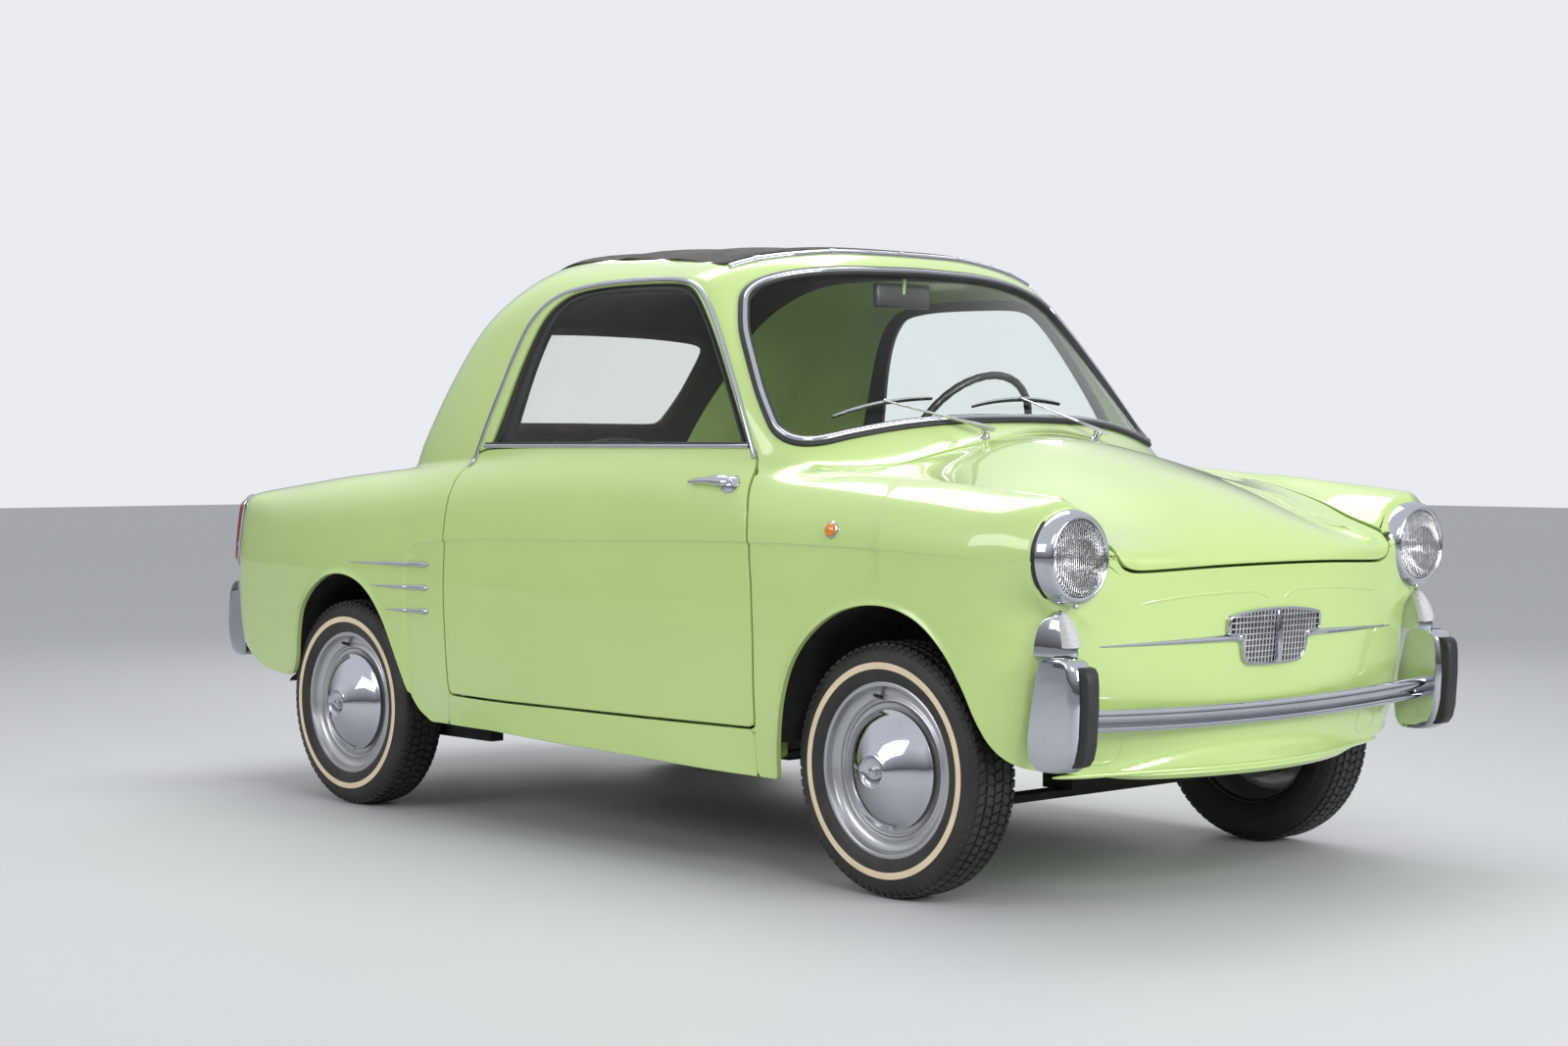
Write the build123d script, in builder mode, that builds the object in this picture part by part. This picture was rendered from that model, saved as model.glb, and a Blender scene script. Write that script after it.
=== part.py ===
from build123d import *
from math import cos, radians, sin
import os

# Two-door microcar with a folding fabric roof.
# Millimetres. +X forward, +Y left, +Z up. The origin is on the ground, in the middle of the car.

# ---------------------------------------------------------------- driving dimensions
length = 2985
body_width = 1340
height = 1320
wheelbase = 1840
front_overhang = 490
front_track = 1130
rear_track = 1135
tyre_radius = 248
tyre_width = 122
rim_radius = 168

skin = 20               # wing, nose, tail, bonnet and lid panels
cabin_wall = 45         # doors, rear quarters and pillars, skin and lining together
fabric = 8              # folding roof
glass = 6               # windscreen and rear window
sheet = 8               # wheel houses and bulkheads
shut_gap = 6            # round the engine lid and three sides of a door
door_front_gap = 9      # the door's front edge swings past its pillar
trim_gap = 2            # bumpers and lamps stand this far off the panels
pin_clearance = 0.05    # radial, of a pin in its eye

ground_clearance = 205
floor_thickness = 20
belt_height = 872
door_sill_height = 305
rail_inner = 430        # the fabric roof lies between the two roof rails
door_inner = 545        # no part of a door reaches further in
wing_inner = 442        # the wings meet the nose and cowl here
bonnet_half_rear = 534
bonnet_half_middle = 510
bonnet_half_front = 434     # between the headlamps
bonnet_gap = 7          # it slides forward a little as it lifts
arch_wall_front = 357   # inner wall of a front wheel house
arch_wall_rear = 420
arch_depth = 600        # outer edge of the wheel houses
king_pin_inset = 62     # from the middle of the tyre to the king pin
king_pin_radius = 8
stub_radius = 12

# ---------------------------------------------------------------- places worked out from them
x_nose = length / 2
x_tail = -length / 2
x_front = x_nose - front_overhang
x_rear = x_front - wheelbase
half_width = body_width / 2
x_shut_front = x_front - 340        # front edge of the door opening
x_shut_rear = x_rear + 443          # rear edge of the door opening
x_header = x_front - 620            # back of the windscreen header
y_front_wheel = front_track / 2
y_rear_wheel = rear_track / 2
y_king_pin = y_front_wheel - king_pin_inset
half_tyre = tyre_width / 2
x_floor_front = x_front - tyre_radius - 27
x_floor_rear = x_rear + tyre_radius + 37
floor_top = ground_clearance + floor_thickness

os.makedirs("parts", exist_ok=True)


def save(piece, name):
    """Label one piece and write its STEP file, which is named after its node."""
    piece.part.label = name
    export_step(piece.part, f"parts/{name}.step")


def prism(plane, points, depth, both=True):
    """A straight-sided cutter with the given outline."""
    with BuildPart() as cutter:
        with BuildSketch(plane):
            with BuildLine():
                Polyline(*points, close=True)
            make_face()
        extrude(amount=depth, both=both)
    return cutter.part


def block(x, y, z):
    """A box between two limits on each axis."""
    with BuildPart() as cutter:
        with Locations(((x[0] + x[1]) / 2, (y[0] + y[1]) / 2, (z[0] + z[1]) / 2)):
            Box(x[1] - x[0], y[1] - y[0], z[1] - z[0])
    return cutter.part


def rod(start, end, radius):
    """A round bar between two points."""
    first = Vector(*start)
    run = Vector(*end) - first
    with BuildPart() as bar:
        with BuildSketch(Plane(origin=first, z_dir=run)):
            Circle(radius)
        extrude(amount=run.length)
    return bar.part


# ---------------------------------------------------------------- outer and inner body forms
# Sections of the lower body: place, half width, wing crest height, centre line height.
lower_sections = [
    (x_tail - 10, half_width - 100, 705, 712),
    (x_tail + 190, half_width - 44, 752, 765),
    (x_rear, half_width - 15, 802, 825),
    (x_rear + 300, half_width - 6, 838, 862),
    (x_shut_rear + 120, half_width - 1, belt_height, belt_height + 30),
    (x_shut_front - 60, half_width - 1, belt_height, belt_height + 40),
    (x_front - 180, half_width - 4, 824, 902),
    (x_front + 90, half_width - 8, 810, 862),
    (x_front + 250, half_width - 14, 794, 806),
    (x_front + 400, half_width - 26, 764, 712),
    (x_nose + 10, half_width - 60, 725, 640),
]
# Outlines that round the nose and the tail, seen from above and from the side.
nose_plan = [(x_nose - 24, 0), (x_nose - 42, 300), (x_nose - 78, 500), (x_nose - 130, 610),
             (x_nose - 250, 690)]
tail_plan = [(x_tail + 22, 0), (x_tail + 30, 350), (x_tail + 60, 540), (x_tail + 130, 620),
             (x_tail + 300, 690)]
nose_profile = [(x_nose - 60, 1000), (x_nose - 24, 650), (x_nose - 33, 560), (x_nose - 50, 400),
                (x_nose - 94, 242), (x_nose - 110, 150)]
tail_profile = [(x_tail + 160, 1000), (x_tail + 72, 720), (x_tail + 34, 590), (x_tail + 34, 440),
                (x_tail + 110, 380), (x_rear - 120, 288), (x_rear - 100, 150)]
# Level outlines of the greenhouse: height, front centre, front corner and its half width,
# greatest half width, which is a third of the way back, rear corner and its half width, rear centre.
roof_levels = [
    (belt_height - 60, x_front - 90, x_front - 304, 604, 626, x_rear + 120, 510, x_rear + 40),
    (belt_height, x_front - 148, x_front - 348, 588, 616, x_rear + 150, 505, x_rear + 66),
    (1000, x_front - 270, x_front - 443, 552, 590, x_rear + 232, 495, x_rear + 96),
    (1120, x_front - 387, x_front - 532, 512, 564, x_rear + 358, 482, x_rear + 140),
    (1210, x_front - 474, x_front - 600, 474, 540, x_rear + 500, 470, x_rear + 190),
    (height + 5, x_front - 570, x_front - 640, 430, 480, x_rear + 760, 440, x_rear + 330),
]
roof_profile = [(x_front, 700), (x_front - 470, height - 46), (x_front - 570, height - 20),
                (x_rear + 840, height), (x_rear + 640, height - 2), (x_rear + 465, height - 14),
                (x_rear + 234, height - 54), (x_rear, 700)]
roof_crown = [(0, height), (250, height - 12), (rail_inner, height - 44), (500, height - 76),
              (545, height - 120), (680, height - 460), (700, 600)]


def lower_form(inset, bottom):
    """The body below the belt line as one closed form, drawn in by the inset.

    A bottom below the ground clearance leaves the tail open underneath as well.
    """
    with BuildPart() as form:
        for x, half, crest, crown in lower_sections:
            side = half - inset
            with BuildSketch(Plane.YZ.offset(x)):
                with BuildLine():
                    Polyline((0, bottom), (side - 20, bottom), (side - 12, door_sill_height))
                    shoulder = crest - inset - 30
                    Spline((side - 12, door_sill_height), (side - 3, 420), (side, 540),
                           (side - 12, (540 + shoulder) / 2 + 20), (side - 38, shoulder),
                           (side - 95, crest - inset))
                    Line((side - 95, crest - inset), (0, crown - inset))
                    mirror(about=Plane.YZ)
                make_face()
        loft(ruled=True)
        plan_right = [(x - inset, -y) for x, y in nose_plan[:0:-1]]
        plan_left = [(x - inset, y) for x, y in nose_plan]
        back_left = [(x + inset, y) for x, y in tail_plan[::-1]]
        back_right = [(x + inset, -y) for x, y in tail_plan[1:]]
        add(prism(Plane.XY, plan_right + plan_left + back_left + back_right, 2 * height), mode=Mode.INTERSECT)
        back = tail_profile if bottom else tail_profile[:4] + [(x_tail + 34, 100)]
        profile = [(x - inset, z) for x, z in nose_profile] + [(x + inset, z) for x, z in back[::-1]]
        add(prism(Plane.XZ, profile, body_width), mode=Mode.INTERSECT)
    return form.part


def greenhouse_form(inset):
    """Roof, pillars, windscreen and fabric top as one closed form, drawn in by the inset."""
    with BuildPart() as form:
        for z, front, front_corner, front_half, side, back_corner, back_half, back in roof_levels:
            right_front = (front_corner - inset, inset - front_half)
            left_front = (front_corner - inset, front_half - inset)
            widest = (2 * front_corner + back_corner) / 3
            left_side = (widest, side - inset)
            right_side = (widest, inset - side)
            left_back = (back_corner + inset, back_half - inset)
            right_back = (back_corner + inset, inset - back_half)
            with BuildSketch(Plane.XY.offset(z)):
                with BuildLine():
                    ThreePointArc(right_front, (front - inset, 0), left_front)
                    Polyline(left_front, left_side, left_back)
                    ThreePointArc(left_back, (back + inset, 0), right_back)
                    Polyline(right_back, right_side, right_front)
                make_face()
        loft(ruled=True)
        profile = [(x, z - inset) for x, z in roof_profile]
        add(prism(Plane.XZ, profile, body_width), mode=Mode.INTERSECT)
        crown = [(y, z - inset) for y, z in roof_crown]
        crown = crown + [(-y, z) for y, z in crown[:0:-1]]
        add(prism(Plane.YZ, crown, length), mode=Mode.INTERSECT)
    return form.part


lower_outer = lower_form(0, ground_clearance)
roof_outer = greenhouse_form(0)
roof_under_fabric = greenhouse_form(fabric)

with BuildPart() as thin_shell:
    add(lower_outer)
    add(lower_form(skin, 0), mode=Mode.SUBTRACT)

with BuildPart() as thick_shell:
    add(lower_outer)
    add(roof_outer)
    add(lower_form(cabin_wall, floor_top), mode=Mode.SUBTRACT)
    add(greenhouse_form(cabin_wall), mode=Mode.SUBTRACT)

# ---------------------------------------------------------------- cutters
front_arch_centre = (x_front + 8, tyre_radius + 40)
rear_arch_centre = (x_rear + 12, tyre_radius + 92)
front_arch_radius = tyre_radius + 27
rear_arch_radius = tyre_radius - 26     # covers the top of the tyre
wide = 2 * half_width
far = length

with BuildPart() as arches:
    with BuildSketch(Plane.XZ):
        with Locations(front_arch_centre):
            Circle(front_arch_radius)
        with Locations(rear_arch_centre):
            Circle(rear_arch_radius)
        with BuildLine():
            Polyline((x_rear + 180, 470), (x_rear + 278, 340), (x_rear + 350, 257), (x_rear + 410, 190),
                     (x_rear - 190, 190), (x_rear - 200, 300), close=True)
        make_face()
    extrude(amount=wide, both=True)
    add(block((-far, far), (-560, 560), (0, 2 * height)), mode=Mode.SUBTRACT)

with BuildPart() as rear_wheel_room:
    for side in (-1, 1):
        middle = (x_rear, side * (y_rear_wheel + half_tyre - 6), tyre_radius)
        outside_wall = (x_rear, side * (y_rear_wheel + half_tyre + 10), tyre_radius)
        add(rod((x_rear, side * arch_wall_rear, tyre_radius), middle, tyre_radius + 15))
        add(rod(middle, outside_wall, tyre_radius - 8))


def wheel_house(x, z, radius, wall):
    """A tub over one wheel, open at the bottom and outside; returns the tub and the space it takes."""
    outer = [(x - radius, floor_top), (x + radius, floor_top), (x + radius, z), (x - radius, z)]
    with BuildPart() as space:
        with BuildSketch(Plane.XZ.offset(-wall)):
            with BuildLine():
                Polyline(outer[3], outer[0], outer[1], outer[2])
                RadiusArc(outer[2], outer[3], -radius)
            make_face()
        extrude(amount=-(arch_depth - wall))
    inner = radius - sheet
    with BuildPart() as tub:
        add(space.part)
        with BuildSketch(Plane.XZ.offset(-wall - sheet)):
            with BuildLine():
                Polyline((x - inner, z), (x - inner, 0), (x + inner, 0), (x + inner, z))
                RadiusArc((x + inner, z), (x - inner, z), -inner)
            make_face()
        extrude(amount=-arch_depth, mode=Mode.SUBTRACT)
    return tub.part, space.part


front_tub, front_space = wheel_house(x_front + 8, tyre_radius + 22, tyre_radius + 66, arch_wall_front)
rear_tub, rear_space = wheel_house(x_rear + 12, tyre_radius + 52, tyre_radius + 30, arch_wall_rear)

with BuildPart() as wheel_house_spaces:
    add(front_space)
    add(rear_space)
    mirror(about=Plane.XZ)

bonnet_seam = 645           # height of the bonnet's front edge


def bonnet_prism(gap):
    """Cutter for the bonnet, or with a gap for the hole that it closes."""
    left = [(x_front - 97 - gap, 0), (x_front - 112 - gap, 300),
            (x_front - 162 - gap, bonnet_half_rear + gap), (x_front + 90, bonnet_half_middle + gap),
            (x_nose - 150, bonnet_half_front + gap), (x_nose + 50, bonnet_half_front + gap)]
    right = [(x, -y) for x, y in left[:0:-1]]
    return prism(Plane.XY.offset(bonnet_seam - gap), left + right, height, both=False)


bonnet_cutter = bonnet_prism(0)
bonnet_opening = bonnet_prism(bonnet_gap)

lid_half = 360
lid_bottom = 452
lid_top = 705


def lid_prism(grow):
    """Cutter for the engine lid, along X through the tail."""
    bottom = lid_bottom - grow
    top = lid_top + grow
    half = lid_half + grow
    with BuildPart() as cutter:
        with BuildSketch(Plane.YZ.offset(x_tail - 50)):
            with Locations((0, (bottom + top) / 2)):
                RectangleRounded(2 * half, top - bottom, 40)
        extrude(amount=250)
    return cutter.part


# The door: its rear edge bows backwards and then leads to the foot of the window trim.
door_outline = [(x_shut_front - 8, belt_height), (x_shut_front - 17, 780), (x_shut_front - 14, 690),
                (x_shut_front - 6, 480), (x_shut_front - 3, door_sill_height),
                (x_shut_rear + 18, door_sill_height), (x_shut_rear + 8, 440), (x_shut_rear, 640),
                (x_shut_rear + 14, 735), (x_shut_rear + 48, 795), (x_shut_rear + 110, 840),
                (x_shut_rear + 128, belt_height)]


def grown(points, rear, front, down):
    """The door outline with its gaps added at the rear, the front and the bottom."""
    middle = (x_shut_front + x_shut_rear) / 2
    moved = []
    for x, z in points:
        low = down if z <= door_sill_height else 0
        moved.append((x + front if x > middle else x - rear, z - low))
    return moved


door_opening_outline = grown(door_outline, shut_gap, door_front_gap, shut_gap)
roof_edge = belt_height + shut_gap      # pillars and sails start above the door's top edge
window_top_front = x_front - 610
window_top_rear = x_rear + 810
window_outline = [(x_front - 352, belt_height - 2), (x_front - 442, 1010), (x_front - 540, 1140),
                  (window_top_front, 1190), ((window_top_front + window_top_rear) / 2, 1204),
                  (window_top_rear, 1186), (x_rear + 742, 1155), (x_rear + 678, 1091), (x_rear + 626, 992),
                  (x_rear + 575, belt_height - 2)]
screen_outline = [(0, 925), (500, 902), (545, 915), (545, 950), (450, 1185), (425, 1212), (0, 1238),
                  (-425, 1212), (-450, 1185), (-545, 950), (-545, 915), (-500, 902)]
back_light_outline = [(-290, 930), (290, 930), (345, 1150), (320, 1180), (-320, 1180), (-345, 1150)]
door_cutter = prism(Plane.XZ, door_outline, wide)
door_opening = prism(Plane.XZ, door_opening_outline, wide)
window_cutter = prism(Plane.XZ, window_outline, wide)
screen_cutter = prism(Plane.YZ.offset(x_header - 80), screen_outline, 700, both=False)
back_light_cutter = prism(Plane.YZ.offset(x_rear - 100), back_light_outline, 500, both=False)

lamp_height = 667
lamp_y = 542
lamp_radius = 93

with BuildPart() as lamp_holes:
    for side in (-1, 1):
        add(rod((x_nose - 170, side * lamp_y, lamp_height), (x_nose, side * lamp_y, lamp_height),
                lamp_radius + trim_gap))

# ---------------------------------------------------------------- fixed body
with BuildPart() as floor_pan:
    add(thick_shell.part)
    add(block((x_floor_rear, x_floor_front), (-wide, wide), (0, door_sill_height - shut_gap)),
        mode=Mode.INTERSECT)
    add(wheel_house_spaces.part, mode=Mode.SUBTRACT)
    add(arches.part, mode=Mode.SUBTRACT)
    # jacking sockets under the sills
    for side in (-1, 1):
        with Locations((x_front - 560, side * 540, ground_clearance + 30)):
            Cylinder(24, 60)
        with Locations((x_front - 560, side * 540, ground_clearance + 25)):
            Cylinder(14, 50, mode=Mode.SUBTRACT)
save(floor_pan, "floor_pan")

with BuildPart() as nose_panel:
    add(thin_shell.part)
    add(block((x_front + 200, x_nose), (-wing_inner, wing_inner), (0, 2 * height)), mode=Mode.INTERSECT)
    add(bonnet_opening, mode=Mode.SUBTRACT)
save(nose_panel, "nose_panel")


def front_wing(name, side):
    """One front wing with its wheel arch, from the door to the headlamp."""
    y = (wing_inner, wide) if side > 0 else (-wide, -wing_inner)
    with BuildPart() as wing:
        add(thin_shell.part)
        add(block((x_shut_front, x_nose), y, (0, roof_edge)), mode=Mode.INTERSECT)
        add(block((0, x_floor_front), y, (0, door_sill_height - shut_gap)), mode=Mode.SUBTRACT)
        add(bonnet_opening, mode=Mode.SUBTRACT)
        add(door_opening, mode=Mode.SUBTRACT)
        add(arches.part, mode=Mode.SUBTRACT)
        add(lamp_holes.part, mode=Mode.SUBTRACT)
        add(wheel_house_spaces.part, mode=Mode.SUBTRACT)
    save(wing, name)


front_wing("left_front_wing", 1)
front_wing("right_front_wing", -1)

with BuildPart() as cowl:
    add(thick_shell.part)
    add(block((x_shut_front + 6, x_front), (-wing_inner, wing_inner), (700, roof_edge)), mode=Mode.INTERSECT)

with BuildPart() as screen_frame:
    add(thick_shell.part)
    add(block((x_header, x_front), (-wide, wide), (roof_edge, 2 * height)), mode=Mode.INTERSECT)
    add(cowl.part)
    add(bonnet_opening, mode=Mode.SUBTRACT)
    add(screen_cutter, mode=Mode.SUBTRACT)
    add(window_cutter, mode=Mode.SUBTRACT)
save(screen_frame, "screen_frame")


def rear_quarter(name, side):
    """One rear quarter with its wheel arch, the sail behind the window and the roof rail."""
    y = (rail_inner, wide) if side > 0 else (-wide, -rail_inner)
    split = x_rear + 250        # the walls are thick in front of here
    with BuildPart() as sail:
        add(roof_outer)
        add(greenhouse_form(cabin_wall), mode=Mode.SUBTRACT)
        add(block((-far, split), y, (0, 2 * height)), mode=Mode.INTERSECT)
        add(lower_form(skin / 2, 0), mode=Mode.SUBTRACT)
    with BuildPart() as rear_wing:
        add(thin_shell.part)
        add(block((-far, split), y, (0, 2 * height)), mode=Mode.INTERSECT)
    with BuildPart() as quarter:
        add(thick_shell.part)
        add(block((split, x_header), y, (0, 2 * height)), mode=Mode.INTERSECT)
        add(rear_wing.part)
        add(sail.part)
        add(door_opening, mode=Mode.SUBTRACT)
        add(window_cutter, mode=Mode.SUBTRACT)
        add(block((x_shut_rear, x_header + 1), y, (0, roof_edge)), mode=Mode.SUBTRACT)
        add(block((-far, x_header), y, (0, door_sill_height - shut_gap)), mode=Mode.SUBTRACT)
        add(arches.part, mode=Mode.SUBTRACT)
        add(rear_wheel_room.part, mode=Mode.SUBTRACT)
        add(wheel_house_spaces.part, mode=Mode.SUBTRACT)
    save(quarter, name)


rear_quarter("left_rear_quarter", 1)
rear_quarter("right_rear_quarter", -1)

with BuildPart() as rear_panel:
    add(thin_shell.part)
    add(block((x_tail, x_rear + 250), (-rail_inner, rail_inner), (392, 2 * height)), mode=Mode.INTERSECT)
    add(lid_prism(shut_gap), mode=Mode.SUBTRACT)
    add(wheel_house_spaces.part, mode=Mode.SUBTRACT)
save(rear_panel, "rear_panel")

with BuildPart() as soft_top:
    add(roof_outer)
    add(roof_under_fabric, mode=Mode.SUBTRACT)
    add(block((x_rear - 100, x_header), (-rail_inner, rail_inner), (700, 2 * height)), mode=Mode.INTERSECT)
    add(lower_outer, mode=Mode.SUBTRACT)
    add(back_light_cutter, mode=Mode.SUBTRACT)
save(soft_top, "soft_top")

with BuildPart() as rear_window:
    add(roof_outer)
    add(roof_under_fabric, mode=Mode.SUBTRACT)
    add(back_light_cutter, mode=Mode.INTERSECT)
save(rear_window, "rear_window")

with BuildPart() as windscreen:
    add(roof_under_fabric)
    add(greenhouse_form(fabric + glass), mode=Mode.SUBTRACT)
    add(screen_cutter, mode=Mode.INTERSECT)
save(windscreen, "windscreen")

with BuildPart() as wheel_houses:
    add(front_tub)
    add(rear_tub)
    mirror(about=Plane.XZ)
save(wheel_houses, "wheel_houses")

# ---------------------------------------------------------------- inside walls
cabin_space = lower_form(cabin_wall + trim_gap, floor_top)
bay_space = lower_form(skin + trim_gap, floor_top)
bulkhead_x = x_shut_front + 14
bulkhead_rear = x_rear + tyre_radius + 14

with BuildPart() as front_bulkhead:
    add(block((bulkhead_x, bulkhead_x + sheet), (-wing_inner, wing_inner), (floor_top, 800)))
    add(block((bulkhead_x, x_front + 330), (1 - arch_wall_front, arch_wall_front - 1), (400, 400 + sheet)))
    add(bay_space, mode=Mode.INTERSECT)
    add(wheel_house_spaces.part, mode=Mode.SUBTRACT)
save(front_bulkhead, "front_bulkhead")

with BuildPart() as rear_bulkhead:
    add(block((bulkhead_rear, bulkhead_rear + sheet), (-arch_depth, arch_depth), (floor_top, 805)))
    add(cabin_space, mode=Mode.INTERSECT)
    add(wheel_house_spaces.part, mode=Mode.SUBTRACT)
save(rear_bulkhead, "rear_bulkhead")

# ---------------------------------------------------------------- moving panels
outside = lower_form(-trim_gap, ground_clearance)

with BuildPart() as bonnet:
    add(thin_shell.part)
    add(bonnet_cutter, mode=Mode.INTERSECT)
save(bonnet, "bonnet")

with BuildPart() as engine_lid:
    add(thin_shell.part)
    add(lid_prism(0), mode=Mode.INTERSECT)
save(engine_lid, "engine_lid")


def door(name, side):
    """One door up to the belt line; its glass is wound down inside it."""
    y = (door_inner, wide) if side > 0 else (-wide, -door_inner)
    with BuildPart() as leaf:
        add(thick_shell.part)
        add(block((x_shut_rear - 50, x_shut_front + 50), y, (0, belt_height)), mode=Mode.INTERSECT)
        add(door_cutter, mode=Mode.INTERSECT)
    save(leaf, name)


door("left_door", 1)
door("right_door", -1)


def door_handle(name, side):
    """The lever of one door, at its front edge."""
    y = (door_inner, half_width) if side > 0 else (-half_width, -door_inner)
    with BuildPart() as lever:
        add(block((x_front - 550, x_front - 400), y, (780, 806)))
        add(outside, mode=Mode.SUBTRACT)
    save(lever, name)


door_handle("left_door_handle", 1)
door_handle("right_door_handle", -1)

# ---------------------------------------------------------------- cabin
seat_side = [(x_rear + 560, floor_top), (x_rear + 1040, floor_top), (x_rear + 1090, 330),
             (x_rear + 1150, 440), (x_rear + 1120, 475), (x_rear + 830, 450), (x_rear + 770, 560),
             (x_rear + 700, 880),
             (x_rear + 665, 905), (x_rear + 600, 885), (x_rear + 590, 820), (x_rear + 650, 480)]


def seat(name, side):
    """One front seat: cushion, low rounded back and its base."""
    with BuildPart() as chair:
        with BuildSketch(Plane.XZ.offset(-side * 90)):
            with BuildLine():
                Polyline(*seat_side, close=True)
            make_face()
        extrude(amount=-side * 400)
    save(chair, name)


seat("left_seat", 1)
seat("right_seat", -1)

with BuildPart() as dashboard:
    add(block((x_shut_front - 75, x_shut_front - 10), (-560, 560), (770, 850)))
    add(cabin_space, mode=Mode.INTERSECT)
save(dashboard, "dashboard")

wheel_centre = Vector(x_front - 657, 300, 868)
column_tilt = 29.5
column_axis = Vector(cos(radians(column_tilt)), 0, -sin(radians(column_tilt)))
steering_plane = Plane(origin=wheel_centre, x_dir=(0, 1, 0), z_dir=-column_axis)
steering_radius = 190
column_shaft = 9

with BuildPart() as steering_wheel:
    with BuildSketch(Plane(origin=wheel_centre, x_dir=-column_axis, z_dir=(0, 1, 0))):
        with Locations((0, steering_radius)):
            Circle(9)
    revolve(axis=Axis(wheel_centre, column_axis))
    with BuildSketch(steering_plane.offset(-12)):
        Circle(28)
    extrude(amount=24)
    with BuildSketch(steering_plane.offset(-4)):
        Rectangle(2 * steering_radius - 10, 14)
    extrude(amount=8)
    with BuildSketch(steering_plane.offset(-12)):
        Circle(column_shaft + pin_clearance)
    extrude(amount=16, mode=Mode.SUBTRACT)
save(steering_wheel, "steering_wheel")

column_start = wheel_centre + column_axis * 20
column_length = (bulkhead_x - column_start.X) / column_axis.X
column_end = column_start + column_axis * (column_length + 30)
with BuildPart() as steering_column:
    add(rod(tuple(column_start), tuple(column_end), 20))
    add(rod(tuple(wheel_centre - column_axis * 2), tuple(column_start), column_shaft))
    add(block((0, bulkhead_x), (0, half_width), (0, height)), mode=Mode.INTERSECT)
save(steering_column, "steering_column")

mirror_top = height - cabin_wall - 25       # the stalk ends just below the roof
with BuildPart() as mirror_glass:
    with BuildSketch(Plane.YZ.offset(x_header + 40)):
        with Locations((0, mirror_top - 60)):
            RectangleRounded(150, 52, 20)
    extrude(amount=14)
    add(rod((x_header + 47, 0, mirror_top - 40), (x_header + 47, 0, mirror_top), 5))
save(mirror_glass, "mirror")

# ---------------------------------------------------------------- lamps, bumpers and grille
with BuildPart() as headlamps:
    for side in (-1, 1):
        bezel_front = (x_nose - 62, side * lamp_y, lamp_height)
        add(rod((x_nose - 140, side * lamp_y, lamp_height), bezel_front, lamp_radius))
        add(rod(bezel_front, (x_nose - 54, side * lamp_y, lamp_height), lamp_radius - 17))
save(headlamps, "headlamps")

with BuildPart() as side_lamps:
    for side in (-1, 1):
        add(block((x_nose - 130, x_nose - 62), (side * 545 - 28, side * 545 + 28), (474, 570)))
    add(outside, mode=Mode.SUBTRACT)
save(side_lamps, "side_lamps")

with BuildPart() as tail_lamps:
    for side in (-1, 1):
        add(block((x_tail + 50, x_tail + 140), (side * 530 - 30, side * 530 + 30), (560, 700)))
    add(outside, mode=Mode.SUBTRACT)
save(tail_lamps, "tail_lamps")

with BuildPart() as grille:
    add(block((x_nose - 60, x_nose - 20), (-95, 95), (460, 550)))
    add(outside, mode=Mode.SUBTRACT)
save(grille, "grille")


def bumper_bar(name, plan, low, high, depth):
    """A bar that follows the plan of the panel behind it."""
    with BuildPart() as bar:
        with BuildSketch(Plane.XY.offset(low)):
            with BuildLine():
                Polyline(*[(x, y) for x, y in plan], *[(x - depth, y) for x, y in plan[::-1]], close=True)
            make_face()
        extrude(amount=high - low)
        add(outside, mode=Mode.SUBTRACT)
    save(bar, name)


over_y = 557
over_half = 40
front_bar_plan = [(x_nose - 52, 516), (x_nose - 32, 300), (x_nose - 24, 0), (x_nose - 32, -300),
                  (x_nose - 52, -516)]
rear_bar_plan = [(x_tail + 50, 496), (x_tail + 16, 300), (x_tail + 10, 0), (x_tail + 16, -300),
                 (x_tail + 50, -496)]
bumper_bar("front_bumper", front_bar_plan, 334, 380, 18)
bumper_bar("rear_bumper", rear_bar_plan, 392, 436, -18)


def overriders(name, x, y, z):
    """The pair of upright corner bumpers at one end."""
    with BuildPart() as pair:
        for side in (-1, 1):
            add(block(x, (side * y - over_half, side * y + over_half), z))
        add(outside, mode=Mode.SUBTRACT)
    save(pair, name)


overriders("front_overriders", (x_nose - 110, x_nose), over_y, (278, 470))
overriders("rear_overriders", (x_tail, x_tail + 100), over_y - 20, (330, 520))

# ---------------------------------------------------------------- running gear
with BuildPart() as engine:
    add(block((x_tail + 90, x_rear - 150), (-210, 210), (230, 570)))
    add(block((x_rear - 150, x_rear + 200), (-130, 130), (220, 420)))
save(engine, "engine")

king_low = 175
king_high = 335


def front_knuckle(name, side):
    """King pin, upright and stub axle of one front wheel."""
    y = side * y_king_pin
    with BuildPart() as knuckle:
        add(rod((x_front, y, king_low), (x_front, y, king_high), 22))
        add(rod((x_front, y, king_low - 18), (x_front, y, king_high + 20), king_pin_radius))
        add(rod((x_front, y, tyre_radius), (x_front, side * (y_front_wheel + 8), tyre_radius), stub_radius))
    save(knuckle, name)


front_knuckle("left_knuckle", 1)
front_knuckle("right_knuckle", -1)


def eye(y, low, thickness):
    """The end of a spring or an arm, round the king pin."""
    with BuildPart() as ring:
        with Locations((x_front, y, low + thickness / 2)):
            Cylinder(20, thickness)
    return ring.part


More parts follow.
